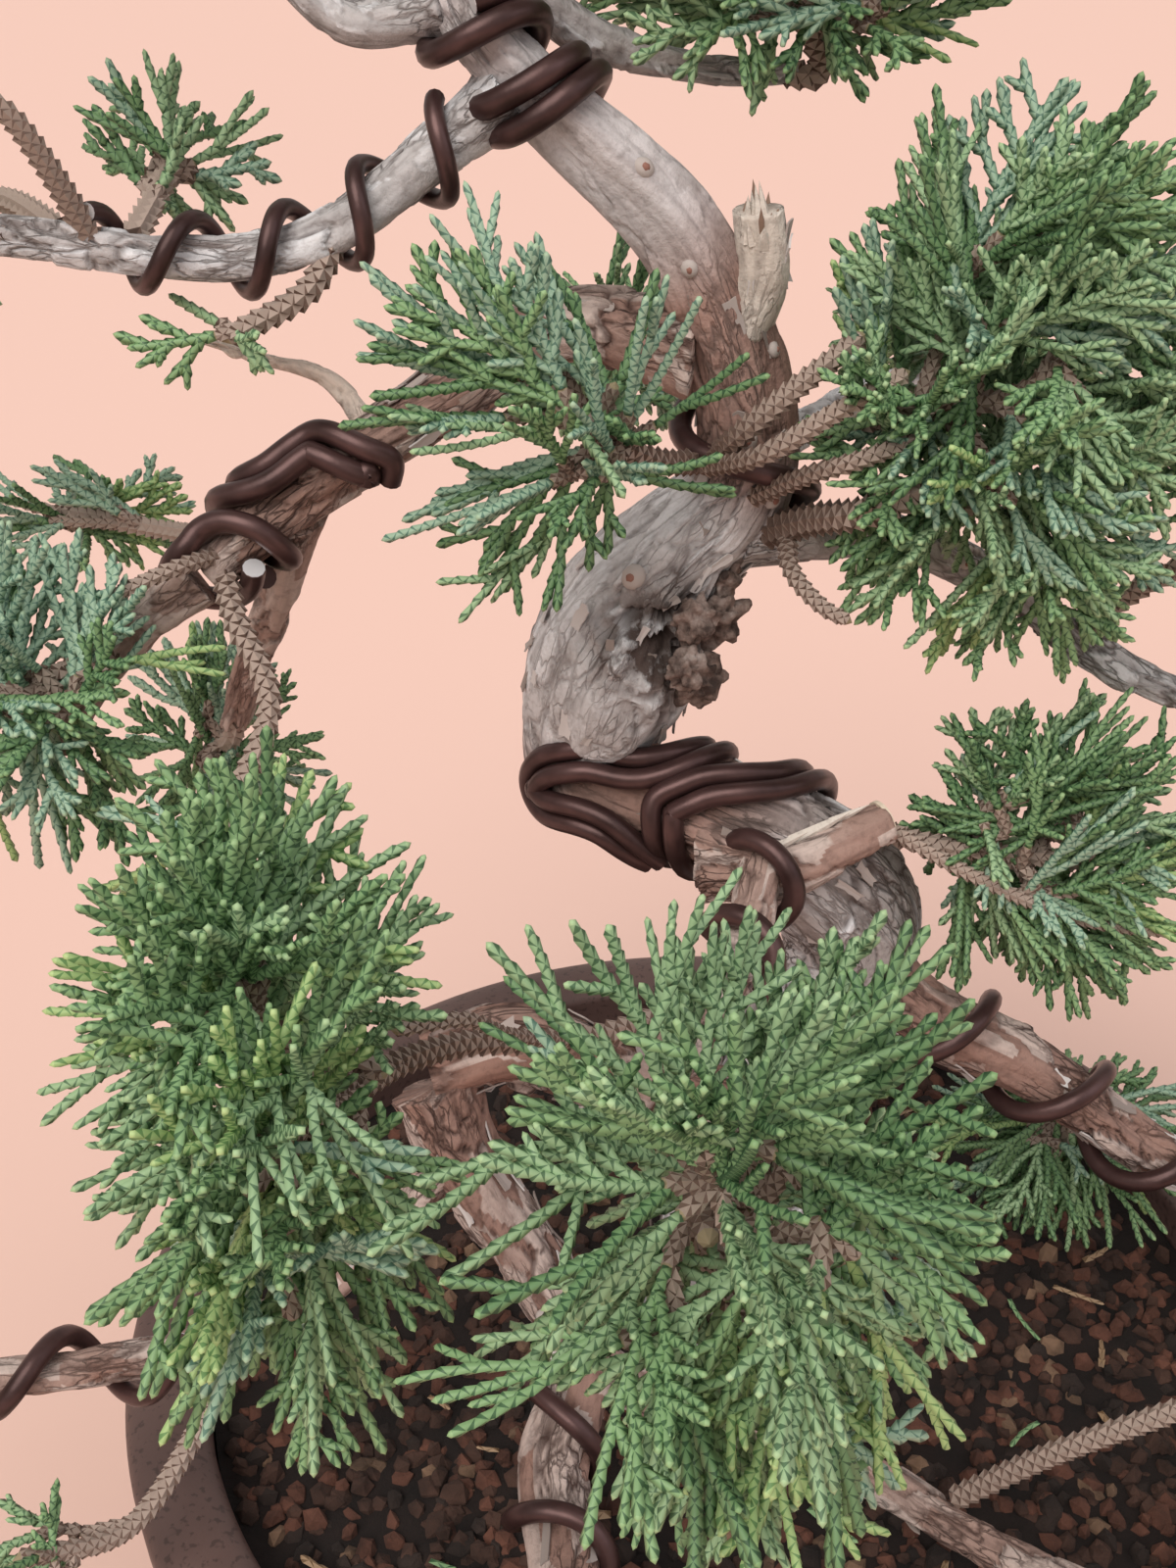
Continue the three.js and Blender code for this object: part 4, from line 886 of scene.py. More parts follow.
# Wires
# Soft aluminium wire, anodised dark brown, holds the bends. It is wound on by hand in open coils,
# singly or as a pair side by side, and its ends are cut square.
HEAVY_WIRE = 1.4
LIGHT_WIRE = 1.05
WIRE_STEPS = 40
GUIDE_STEPS = 10
GUIDE_SMOOTHING = 6
COILS = {
    "wire_trunk_bend": dict(host="trunk", reach=(0.3, 0.49), paired=(0, 1), beside=3,
        guides=[(-13.8, -5.5, 148.2), (-17.5, -6.8, 150.6), (-20.8, -6.6, 153), (-23.9, -5, 153.5),
        (-28.4, -1, 152.9), (-31.8, 3, 155.4), (-30.3, 1, 161.4), (-25.7, -3, 165.9), (-20.2, -5, 167.6),
        (-14.7, -5, 166.6), (-6, 2, 165.5), (-5, 7.5, 158), (-5.5, 4, 146), (-13.8, -9, 156),
        (-15.2, -12, 162.8), (-13.2, -12, 167.3), (-8.2, -9, 168.1), (-2, -7, 166.6), (3.4, -4, 162.4),
        (8, 6, 152), (5, 4, 143)]),
    "wire_trunk_upper": dict(host="trunk", start=0.66, end=0.7, turns=0.75, angle=2.2),
    "wire_trunk_elbow": dict(host="trunk", start=0.83, end=0.915, turns=2.6, angle=3, paired=(0, 0.55),
        beside=3),
    "wire_left": dict(host="bough_left", reach=(0.4, 0.999), paired=(0, 0.52), beside=-3,
        guides=[(-44, -5, 200.7), (-43.9, -5, 203.7), (-47.7, -4, 204.6), (-51.9, -3, 205),
        (-55.9, -4, 204.8), (-59, -5, 203.4), (-62, -3, 200.5), (-62.5, 2, 195), (-59, 1.5, 188.5),
        (-55.5, -3, 188), (-56.3, -7, 193.1), (-59, -9, 196.6), (-62.5, -8, 196.9), (-65.6, -8, 195.8),
        (-67.3, -9, 193.9), (-70, -3, 184), (-64, -3, 183), (-59.9, -9, 192)]),
    "wire_upper_left": dict(host="bough_upper_left", start=0.14, end=0.85, turns=4, angle=1.5,
        light=True),
    "wire_right_low": dict(host="bough_right_low", start=0.14, end=0.9, turns=3.2, angle=1.6),
    "wire_front": dict(host="bough_front", start=0.2, end=0.5, turns=1.6, angle=3, facing=(1, 0, 0)),
    "wire_low_front": dict(host="bough_low_front", start=0.42, end=0.75, turns=2.4, angle=3,
        facing=(1, 0, 0)),
    "wire_low_left": dict(host="bough_low_left", start=0.6, end=0.96, turns=1.6, angle=1.2),
}


def coil_path(host, start, end, turns, angle, radius, facing=(0, -1, 0), beside=0.0):
    """Points of a wire wound on a limb, starting from the side that it faces."""
    limb = limbs[host]
    share = np.linspace(0, 1, math.ceil(turns * WIRE_STEPS) + 1)
    places = np.clip(start + (end - start) * share + beside / limb.length, 0.001, 0.999)
    headings = limb.heading(places)
    side = unit(np.cross(headings, facing))
    front = np.cross(side, headings)
    turned_by = (angle - share * turns * math.tau)[:, None]
    reach = (limb.radius(places) + SEAT_GAP + radius)[:, None] * 1.03
    return limb.at(places) + front * np.cos(turned_by) * reach + side * np.sin(turned_by) * reach


def rest_on(spine, room, path):
    """Draws each point of a path to its room's distance from the nearest of a limb's middle points."""
    nearest = (np.linalg.norm(path[:, None] - spine, axis=2) - room).argmin(axis=1)
    outward = unit(path - spine[nearest])
    path = spine[nearest] + outward * room[nearest, None]
    for _ in range(GUIDE_SMOOTHING):
        path[1:-1] = (path[:-2] + 2 * path[1:-1] + path[2:]) / 4
    return path, outward


def laid_path(host, guides, radius, reach, beside=0.0):
    """Points of a wire laid on a limb's bark along guide points, or of its twin beside it."""
    limb = limbs[host]
    shares = np.linspace(*reach, 600)
    spine, room = limb.at(shares), limb.radius(shares) + SEAT_GAP + radius
    path, outward = rest_on(spine, room, flowing(guides, GUIDE_STEPS))
    if beside:
        sideways = np.cross(unit(np.gradient(path, axis=0)), outward)
        path, outward = rest_on(spine, room, path + sideways * beside)
    return path


def wire_tree():
    """Geometry Nodes that draw a round wire along a line of points and close its ends."""
    tree, given, result = new_tree("wound wire", "Wire", Path="Geometry", Wire_radius="Float",
                                   Sides="Int", Finish="Material")
    line = tree.nodes.new("GeometryNodeMeshToCurve")
    ring = tree.nodes.new("GeometryNodeCurvePrimitiveCircle")
    sweep = tree.nodes.new("GeometryNodeCurveToMesh")
    sweep.inputs["Fill Caps"].default_value = True
    link = tree.links.new
    link(given.outputs["Path"], line.inputs["Mesh"])
    link(given.outputs["Wire radius"], ring.inputs["Radius"])
    link(given.outputs["Sides"], ring.inputs["Resolution"])
    link(line.outputs["Curve"], sweep.inputs["Curve"])
    link(ring.outputs["Curve"], sweep.inputs["Profile Curve"])
    realized(tree, sweep.outputs["Mesh"], given, result)
    return tree


def anodised_wire():
    """Dark brown anodised aluminium with a soft gleam."""
    made, tree, shader = material("brown anodised wire", 0.38)
    shader.inputs["Metallic"].default_value = 0.55
    tone = ramp(tree, noise_at(tree, 120, 4), [(0.35, "3a2827"), (0.65, "584140")])
    tree.links.new(tone, shader.inputs["Base Color"])
    tree.links.new(rescale(tree, noise_at(tree, 300, 4), 0.25, 0.5), shader.inputs["Roughness"])
    bump(tree, shader, noise_at(tree, 900, 3), 0.06, 0.5)
    return made


wind_wire, wire_finish = wire_tree(), anodised_wire()
wire_spots, wire_ends = [], []
for name, spec in COILS.items():
    radius = LIGHT_WIRE if spec.get("light") else HEAVY_WIRE
    shape = {key: value for key, value in spec.items() if key not in ("paired", "beside", "light")}
    wind = laid_path if "guides" in spec else coil_path
    paths = [wind(radius=radius, **shape)]
    if "paired" in spec:
        second = wind(radius=radius, beside=spec["beside"], **shape)
        first_step, last_step = (round(share * (len(second) - 1)) for share in spec["paired"])
        paths.append(second[first_step : last_step + 1])
    points = np.vstack(paths)
    wire_spots.append(points)
    for path in paths[:1] if name == "wire_left" else paths:
        wire_ends.append((path[-1], unit(path[-1] - path[-2]), radius))
        if name != "wire_trunk_bend":
            wire_ends.append((path[0], unit(path[0] - path[1]), radius))
    edges, first = [], 0
    for path in paths:
        edges += [(first + k, first + k + 1) for k in range(len(path) - 1)]
        first += len(path)
    line = bpy.data.meshes.new(f"wound_{name}")
    line.from_pydata((points * MM).tolist(), edges, [])
    wire = add_object(f"wound_{name}", line)
    grown(wire, wind_wire, **{"Wire radius": radius * MM, "Sides": 12, "Finish": wire_finish})
    wire.data.shade_smooth()
    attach(wire, "root")
    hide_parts(name)
wire_spots = np.vstack(wire_spots)


# Foliage
# Cord-like shoots clothed in scale leaves, fanned out on forking twigs, fill an egg-shaped space at
# each bough's end. The first twigs follow the solids' seeded rule; finer ones then grow between them.
SPRAY_LENGTH = 22
SPRAY_THICKNESS = 2.6
SPRAY_LEAN = 0.8
FINE_LEAN = 0.5
FINE_NEAREST = 9
FINE_FARTHEST = 21
SPRAY_SPACING = 6.2
FINE_SPACING = 2.7
STEM_RADIUS = 1.6
STEM_TIP_RADIUS = 1.3
TWIG_RADIUS = 0.55
SPACE_MARGIN = 0.1
LIMB_MARGIN = 1
WIRED_MARGIN = 4.2
BARE_MARGIN = 1.6
FINE_SHARE = 2.6
CORD_RADIUS = 0.62
SCALE_STEP = 0.69
HIDDEN_STEP = 1.45
SCALE_RAISED = 1.1
SCALE_SUNKEN = 0.78
SCALE_LEAP = 0.55
TWIG_CORNERS = 8
TWIG_STEP = 0.8
SHORTEST_TWIG = 2
PAD_SEED = 11
FINE_SEED = 500
CORD_SEED = 900
FRESH = 0.06
LONG_SHARE = 0.6
LONG_CORDS = dict(gap=2.6, lean=(0.3, 0.62), size=(0.6, 0.95), shoot_gap=7)
SHORT_CORDS = dict(gap=2.4, lean=(0.5, 0.9), size=(0.36, 0.56), shoot_gap=3.6)
LONGEST_SHOOT = 7
PAD_SLACK = 1.06
BARK_SLACK = 0.4
PADS = {
    "foliage_centre": dict(host="trunk", stem=[(-6, 2, 201), (-14, -10, 205)], centre=(-25, -20, 214),
        reach=(22, 10, 25), twigs=11, fine=15, long=0.9, cool=True, fresh=0),
    "foliage_right": dict(host="trunk", stem=[(-3.4, 2, 203), (8, -1, 206)], centre=(27, -6, 211),
        reach=(25, 18, 35), twigs=14, fine=76, fresh=0.1, long=0.3),
    "foliage_right_outer": dict(host="bough_right", stem=[(42, 13, 173), (50, 11, 181), (56, 8, 187)],
        centre=(66, 6, 208), reach=(24, 24, 30), twigs=10, fine=50, fresh=0.1),
    # Pads marked shade sit under the right mass and take darker tones as painted shade.
    "foliage_right_lower": dict(host="stub_cut", stem=[(12, -4.5, 155.4), (20, -4, 152)],
        centre=(38, -4, 149), reach=(24, 12, 25), twigs=9, fine=120, first=0.05, shade=True),
    "foliage_right_under": dict(host="bough_right_low", stem=[(44, -6, 113), (49, 4, 105), (52, 10, 98)],
        centre=(54, 12, 85), reach=(24, 18, 14), twigs=5, fine=34, shade=True),
    "foliage_right_low": dict(host="bough_right_low", centre=(103, -10, 93), reach=(21, 20, 15), twigs=6,
        fine=20),
    "foliage_right_back": dict(host="bough_right_back", centre=(104, 60, 150), reach=(24, 22, 19),
        twigs=7, fine=20),
    "foliage_left": dict(host="bough_left_outer", stem=[(-76, -9.2, 182.4), (-80, -14, 182)],
        centre=(-87, -18, 179), reach=(26, 14, 22), twigs=8, fine=32, cool=True),
    "foliage_left_hanging": dict(host="bough_left", stem=[(-64, -6, 191.4), (-62, -12, 187),
        (-58, -17, 178)], centre=(-68, -25, 160), reach=(15, 10, 13), twigs=5, fine=8, cool=True),
    "foliage_left_far": dict(host="bough_left", stem=[(-60, -4, 194.5), (-66, 8, 189), (-76, 22, 184)],
        centre=(-94, 32, 183), reach=(23, 12, 10), twigs=5, fine=12, cool=True),
    "foliage_left_rear": dict(host="bough_left_rear", centre=(-75, 26, 150), reach=(17, 14, 18), twigs=5,
        fine=12, cool=True),
    "foliage_upper_left": dict(host="bough_upper_left", centre=(-104, -7, 229), reach=(22, 18, 18),
        twigs=7, fine=22, cool=True),
    "foliage_upper_left_back": dict(host="bough_upper_left", stem=[(-76, -5.9, 227.8), (-88, 9, 229),
        (-107, 26, 221)], centre=(-122, 42, 214), reach=(20, 18, 16), twigs=6, fine=14),
    "foliage_upper_left_low": dict(host="bough_upper_left", stem=[(-48, -4, 228.6), (-51, -7, 223)],
        centre=(-60, -8, 218), reach=(13, 8, 6), twigs=4, fine=6),
    "foliage_upper_left_near": dict(host="bough_upper_left", stem=[(-70, -5.6, 227.2)],
        centre=(-68, 12, 233), reach=(13, 10, 12), twigs=5, fine=12),
    "foliage_crown_left": dict(host="bough_crown_left", centre=(-66, 4, 266), reach=(22, 19, 15), twigs=7,
        fine=20),
    "foliage_crown_right": dict(host="bough_crown_right", centre=(0, 12, 251), reach=(27, 14, 13),
        twigs=7, fine=60, first=0.05),
    "foliage_crown_back": dict(host="bough_crown_back", centre=(-4, 54, 263), reach=(26, 22, 17), twigs=7,
        fine=20),
    "foliage_apex": dict(host="trunk", centre=(-6, 2, 284), reach=(32, 26, 17), twigs=9, fine=30),
    "foliage_back": dict(host="bough_back", centre=(-18, 64, 199), reach=(20, 18, 17), twigs=6, fine=16),
    "foliage_back_right": dict(host="bough_back_right", centre=(42, 74, 197), reach=(26, 23, 22), twigs=7,
        fine=22),
    "foliage_front": dict(host="bough_front", centre=(-12, -92, 170), reach=(27, 23, 31), twigs=11,
        fine=20, first=0.1, cord=0.58, fresh=0.1, long=0.35, east=9),
    "foliage_front_left": dict(host="bough_front", stem=[(-7, -37, 151.3), (-21, -46, 153),
        (-35, -56, 160)], centre=(-48, -80, 171), reach=(18, 23, 34), twigs=9, fine=24, first=0.1,
        cord=0.58, fresh=0.5, long=0.35),
    "foliage_low_front": dict(host="bough_low_front", centre=(-25, -117, 92), reach=(23, 19, 15), twigs=6,
        fine=12, cord=0.6, fresh=0.12),
    "foliage_low_right": dict(host="bough_low_right", centre=(60, -82, 90), reach=(20, 18, 14), twigs=6,
        fine=10, cord=0.6, fresh=0.12),
    "foliage_low_right_twig": dict(host="bough_low_right", stem=[(24, -44.8, 73.4), (38, -46, 86),
        (53, -45, 93), (68, -42, 97)], centre=(86, -40, 102), reach=(17, 13, 11), twigs=5, fine=12),
    "foliage_low_left": dict(host="bough_low_left", centre=(-124, -44, 98), reach=(20, 17, 14), twigs=6,
        fine=16),
    "foliage_low_left_twig": dict(host="bough_low_left", stem=[(-68, -31.7, 91.6), (-73.5, -41, 82),
        (-81, -50, 76)], centre=(-92, -56, 79), reach=(14, 10, 8), twigs=4, fine=8),
}
OPEN_LINES = [((-9, -10, 186), 9.5), ((-40, -12, 119), 8), ((-32, -28, 108), 7), ((-26, -42, 80), 8)]
pad_names = list(PADS)
pad_centres = np.array([pad["centre"] for pad in PADS.values()], float)
pad_reaches = np.array([pad["reach"] for pad in PADS.values()], float)


def seeded(seed):
    """The solids' own small generator of random numbers."""
    state = [seed]
    whole = 0xFFFFFFFF

    def draw():
        state[0] = (state[0] + 0x6D2B79F5) & whole
        t = ((state[0] ^ (state[0] >> 15)) * (1 | state[0])) & whole
        t = ((t + (t ^ (t >> 7)) * (61 | t)) & whole) ^ t
        return (t ^ (t >> 14)) / 4294967296

    return draw


def limb_stations(bare):
    """Points along every limb, and the room round each that bark and wire take."""
    spots, rooms = [], []
    for name, limb in limbs.items():
        shares = np.linspace(0, 1, math.ceil(limb.length / 3) + 1)
        margin = LIMB_MARGIN if name in UNWIRED else WIRED_MARGIN
        spots.append(limb.at(shares))
        rooms.append(np.broadcast_to(limb.radius(shares), shares.shape) + (BARE_MARGIN if bare else margin))
    if bare:
        spots.append(wire_spots[::4])
        rooms.append(np.full(len(wire_spots[::4]), HEAVY_WIRE + 1))
    return np.vstack(spots), np.concatenate(rooms)


first_stations, fine_stations = limb_stations(False), limb_stations(True)


def has_room(i, points, width, fine=False):
    """Whether points lie in a pad's own space, above the pot and clear of every limb."""
    depth = np.linalg.norm((points[:, None] - pad_centres) / pad_reaches, axis=2)
    own = depth[:, i].copy()
    depth[:, i] = np.inf
    free = (own <= 1) & (depth.min(axis=1) >= own + (0 if fine else SPACE_MARGIN))
    free &= (np.hypot(points[:, 0], points[:, 1]) >= RIM_RADIUS + 3) | (points[:, 2] >= POT_HEIGHT + 3)
    spots, rooms = fine_stations if fine else first_stations
    far = np.linalg.norm(points[:, None] - spots, axis=2) > rooms + width
    return free & far.all(axis=1)


def line_has_room(i, start, end, width, fine):
    """Whether a straight twig has room along its whole length."""
    share = np.linspace(1 / 6, 1, 6)[:, None]
    return bool(has_room(i, start + (end - start) * share, width, fine).all())


def grow_spray(i, placed, root, along, size, fine):
    """The end of a spray, drawn in until it lies in the pad's space, or nothing if it is crowded."""
    end = root + along * size
    centre, reach = pad_centres[i], pad_reaches[i]
    while np.linalg.norm((end - centre) / reach) > 1 and np.linalg.norm(end - root) > size / 3:
        end = end + (root - end) * 0.06
    if not line_has_room(i, root + (end - root) * 0.15, end, 1.0 if fine else SPRAY_THICKNESS, fine):
        return None
    spots = root + (end - root) * np.array([[0.35], [0.65], [1]])
    if placed:
        others = np.array(placed).reshape(-1, 3)
        near = np.linalg.norm(spots[:, None] - others, axis=2).min()
        if near <= (FINE_SPACING if fine else SPRAY_SPACING):
            return None
    placed.append(spots)
    return end


def grow_twig(i, placed, node, target, draw, fine=False):
    """A twig and its fans: (twig start, twig end) and (root, end, sideways) for each fan."""
    forward = target - node
    length = np.linalg.norm(forward)
    forward = forward / length
    elbow = node + (target - node) * max(0.25, 1 - SPRAY_LENGTH / length)
    across = unit(np.cross((draw() - 0.5, draw() - 0.5, draw() - 0.5), forward))
    if not line_has_room(i, node + (elbow - node) * 0.4, elbow, TWIG_RADIUS, fine):
        return None, []
    tip = grow_spray(i, placed, elbow, forward, np.linalg.norm(target - elbow), fine)
    if tip is None:
        return None, []
    fans = [(elbow, tip, across)]
    spread = FINE_LEAN if fine else SPRAY_LEAN
    for lean in (spread, -spread):
        along = unit(forward * math.cos(lean) + across * math.sin(lean))
        size = SPRAY_LENGTH * (0.75 + 0.2 * draw())
        root = node + (elbow - node) * (0.8 if lean > 0 else 0.5)
        end = grow_spray(i, placed, root, along, size, fine)
        if end is not None:
            fans.append((root, end, across * math.cos(lean) - forward * math.sin(lean)))
    return (node, elbow), fans


def pad_stem(pad):
    """The twig that carries a pad, from its host to the pad's middle."""
    host = limbs[pad["host"]]
    tip, outward = host.at(1.0), host.heading(1.0)
    start = pad.get("stem") or [tip - outward * 2, tip + outward * 3]
    return Limb([*start, pad["centre"]], STEM_RADIUS, STEM_TIP_RADIUS)


def first_twigs(i, pad, stem, placed):
    """A pad's main twigs and their fans, spread over its space by the solids' own rule."""
    draw = seeded(PAD_SEED + i)
    twigs, fans = [], []
    spin = draw() * math.tau
    for k in range(pad["twigs"]):
        up = 1 - 2 * (k + 0.5) / pad["twigs"]
        turn = spin + k * math.pi * (3 - math.sqrt(5))
        flat = math.sqrt(1 - up * up)
        way = np.array((math.cos(turn) * flat, math.sin(turn) * flat, up))
        target = way * pad_reaches[i] + pad_centres[i]
        node = stem.at(0.6 + 0.35 * draw())
        twig, made = grow_twig(i, placed, node, target, draw)
        if twig:
            twigs.append(twig)
            fans += made
    return twigs, fans


def fine_twigs(i, pad, stem, placed, twigs, fans):
    """Adds finer twigs and their fans between a pad's main ones."""
    dice = np.random.default_rng(FINE_SEED + i)
    for _ in range(round(FINE_SHARE * pad["fine"])):
        way = unit(dice.normal(size=3))
        target = pad_centres[i] + way * pad_reaches[i] * dice.uniform(0.5, 1.0)
        nodes = np.array([stem.at(dice.uniform(pad.get("first", 0.35), 1))] + [end for _, end in twigs])
        reach = np.linalg.norm(nodes - target, axis=1)
        near = np.flatnonzero((reach > FINE_NEAREST) & (reach < FINE_FARTHEST))
        if not len(near):
            continue
        twig, made = grow_twig(i, placed, nodes[dice.choice(near)], target, dice.random, fine=True)
        if twig:
            twigs.append(twig)
            fans += made


def grow_pad(i, pad):
    """The stem, twigs and fans of one pad."""
    stem = pad_stem(pad)
    placed = []
    twigs, fans = first_twigs(i, pad, stem, placed)
    fine_twigs(i, pad, stem, placed, twigs, fans)
    return stem, twigs, fans


def side_shoots(cord, habit, dice):
    """The short shoots on both sides of one cord."""
    start, out, curl, plane, size, thick, tone, _ = cord
    aside = np.cross(plane, out)
    shoots = []
    count = round(size / habit["shoot_gap"])
    for k in range(count):
        at = 0.25 + 0.5 * (k + dice.uniform(0.1, 0.9)) / count
        swing = dice.uniform(0.4, 0.7) * (1 if k % 2 else -1)
        away = unit(out * math.cos(swing) + aside * math.sin(swing) + plane * dice.uniform(-0.35, 0.35))
        root = start + out * size * at + curl * size * at**2
        reach = min(LONGEST_SHOOT, size * dice.uniform(0.35, 0.6))
        shoots.append((root, away, out * 0.15, plane, reach, thick * 0.92, tone, k + 1))
    return shoots


def fan_cords(fan, dice, tone, thick, long_share):
    """Cords of one fan: start, heading, bend, plane, length, radius and tone of each, and how many
    places back in the list the cord it grows from stands."""
    root, end, beside = fan
    length = np.linalg.norm(end - root)
    forward = (end - root) / length
    beside = unit(beside - forward * beside.dot(forward))
    plane = np.cross(forward, beside)
    sway = beside * dice.uniform(-0.2, 0.2) + plane * dice.uniform(-0.2, 0.2)
    cords = [(root, forward, sway, plane, length, thick * 1.06, tone, 0)]
    habit = LONG_CORDS if dice.random() < long_share else SHORT_CORDS
    count = max(3, round(length / habit["gap"]))
    for k in range(count):
        share = 0.05 + 0.8 * (k + dice.uniform(0.1, 0.9)) / count
        sign = 1 if k % 2 else -1
        lean = dice.uniform(*habit["lean"])
        tilt = plane * dice.uniform(-0.3, 0.3)
        out = unit(beside * sign * math.sin(lean) + forward * math.cos(lean) + tilt)
        start = root + forward * length * share + sway * length * share**2
        size = length * (1.1 - 0.6 * share) * dice.uniform(*habit["size"])
        curl = forward * 0.32 + plane * dice.uniform(-0.2, 0.2)
        cord = (start, out, curl, plane, size, thick, tone, len(cords))
        cords += [cord] + side_shoots(cord, habit, dice)
    return cords


def in_the_way(spots):
    """Whether spots lie on one of the open lines from the eye to the wood behind."""
    hidden = np.zeros(len(spots), bool)
    for place, room in OPEN_LINES:
        onward = unit(np.array(place) - CAMERA_PLACE)
        depth = (spots - CAMERA_PLACE) @ onward
        away = np.linalg.norm(spots - CAMERA_PLACE - depth[:, None] * onward, axis=1)
        whole = np.linalg.norm(np.array(place) - CAMERA_PLACE)
        hidden |= (depth < whole) & (away < room * depth / whole)
    return hidden


def scale_cords(starts, headings, pulls, planes, lengths, radii, rings):
    """Points and triangles of cords clothed in overlapping scale leaves, and each triangle's part:
    0 for a scale's lit back, 1 for the hollow under it, painted in a darker copy of the back's colour as
    shade, 2 for the tip."""
    share = np.arange(rings + 1) / rings
    share = share[None, :, None]
    run = lengths[:, None, None]
    middles = starts[:, None] + headings[:, None] * run * share + pulls[:, None] * run * share**2
    tangents = unit(headings[:, None] + 2 * pulls[:, None] * share)
    sides = unit(planes[:, None] - tangents * (planes[:, None] * tangents).sum(-1, keepdims=True))
    return clad(middles, tangents, sides, radii[:, None] * np.linspace(1.06, 0.86, rings + 1))


def clad(middles, tangents, sides, radii, corners=4):
    """Points and triangles of scale leaves round rings of middle points, and each triangle's part."""
    count, rings = middles.shape[0], middles.shape[1] - 1
    lifts = np.cross(tangents, sides)
    step = np.linalg.norm(middles[:, 1:] - middles[:, :-1], axis=2).mean(axis=1)[:, None, None, None]
    ring, corner = np.meshgrid(np.arange(rings + 1), np.arange(corners), indexing="ij")
    raised = ((ring + corner) % 2 == 0)[None, :, :, None]
    angle = (corner * math.tau / corners)[None, :, :, None]
    outward = sides[:, :, None] * np.cos(angle) + lifts[:, :, None] * np.sin(angle)
    reach = radii[:, :, None, None] * np.where(raised, SCALE_RAISED, SCALE_SUNKEN)
    leap = tangents[:, :, None] * step * np.where(raised, SCALE_LEAP, -0.05)
    points = middles[:, :, None] + outward * reach + leap
    points[:, -1] = middles[:, -1, None] + outward[:, -1] * radii[:, -1, None, None] * 0.7
    tips = middles[:, -1] + tangents[:, -1] * radii[:, -1, None] * 0.75
    everything = np.concatenate([points.reshape(count, -1, 3), middles[:, :1], tips[:, None]], axis=1)
    triangles, parts = clad_faces(rings, corners)
    offsets = np.arange(count)[:, None, None] * everything.shape[1]
    return everything.reshape(-1, 3), (triangles[None] + offsets).reshape(-1, 3), np.tile(parts, count)


def clad_faces(rings, corners):
    """Triangles over rings of corners, closed at both ends, and the part that each one shows."""
    triangles, parts = [], []
    # Part 1, the hollow under each scale and the root cap, takes the darker colour that is painted shade;
    # part 0 takes the scale's back.
    for k in range(rings):
        for j in range(corners):
            low, low_next = corners * k + j, corners * k + (j + 1) % corners
            high, high_next = low + corners, low_next + corners
            if (k + j) % 2 == 0:
                triangles += [(low, low_next, high), (high_next, high, low_next)]
            else:
                triangles += [(low_next, high_next, low), (high, low, high_next)]
            parts += [1, 0]
    last = corners * rings
    base, tip = last + corners, last + corners + 1
    for j in range(corners):
        triangles += [(base, (j + 1) % corners, j), (tip, last + j, last + (j + 1) % corners)]
        parts += [1, 2]
    return np.array(triangles), np.array(parts)


def joined(name, batches, finishes, smooth=False):
    """One mesh from batches of (points, triangles, finish number of each triangle)."""
    points, triangles, slots, first = [], [], [], 0
    for batch_points, batch_triangles, batch_slots in batches:
        points.append(batch_points)
        triangles.append(batch_triangles + first)
        slots.append(batch_slots)
        first += len(batch_points)
    points, triangles, slots = np.vstack(points), np.vstack(triangles), np.concatenate(slots)
    mesh = bpy.data.meshes.new(name)
    mesh.vertices.add(len(points))
    mesh.vertices.foreach_set("co", (points * MM).astype(np.float32).ravel())
    mesh.loops.add(3 * len(triangles))
    mesh.loops.foreach_set("vertex_index", triangles.astype(np.int32).ravel())
    mesh.polygons.add(len(triangles))
    mesh.polygons.foreach_set("loop_start", np.arange(0, 3 * len(triangles), 3, dtype=np.int32))
    mesh.polygons.foreach_set("material_index", slots.astype(np.int32))
    for finish in finishes:
        mesh.materials.append(finish)
    mesh.update(calc_edges=True)
    if smooth:
        mesh.shade_smooth()
    else:
        mesh.shade_flat()
    return mesh


def cord_batches(cords, scale_step):
    """Turns cords into batches, one for each number of rings."""
    steps = np.array([max(3, round(cord[4] / scale_step)) for cord in cords])
    batches = []
    for rings in np.unique(steps):
        chosen = [cords[k] for k in np.flatnonzero(steps == rings)]
        starts, headings, pulls, planes = (np.array([cord[k] for cord in chosen]) for k in range(4))
        lengths, radii, tones = (np.array([cord[k] for cord in chosen]) for k in (4, 5, 6))
        points, triangles, parts = scale_cords(starts, headings, pulls, planes, lengths, radii, rings)
        per_cord = len(parts) // len(chosen)
        batches.append((points, triangles, parts + 3 * np.repeat(tones, per_cord)))
    return batches


def stem_batch(limb, start, step):
    """A brown twig clothed in old scale leaves along a limb."""
    rings = max(3, round(limb.length * (1 - start) / step))
    middles, tangents, sides, _ = cross_frames(limb, np.linspace(start, 1, rings + 1))
    radii = np.broadcast_to(limb.radius(np.linspace(start, 1, rings + 1)), rings + 1)
    return clad(middles[None], tangents[None], sides[None], radii[None], TWIG_CORNERS)


# Each tone is three colours: a scale's back, the hollow under it in a darker copy of the back that is painted
# shade, and the tip.
LEAF_TONES = [("94b48a", "547454", "a2c092"), ("82a676", "486a48", "90b280"), ("96b49c", "587c6c", "a2bea0"),
              ("6a8e62", "36583a", "7ca06e"), ("a0be80", "658c56", "aec88a"), ("9c8266", "70583f", "a88c70")]
FRESH_SHARES = np.array([0, 0.5, 0, 0, 0.5, 0])
CALM_SHARES = np.array([0.42, 0.26, 0.12, 0.196, 0, 0.004])
COOL_SHARES = np.array([0.1, 0.1, 0.5, 0.296, 0, 0.004])
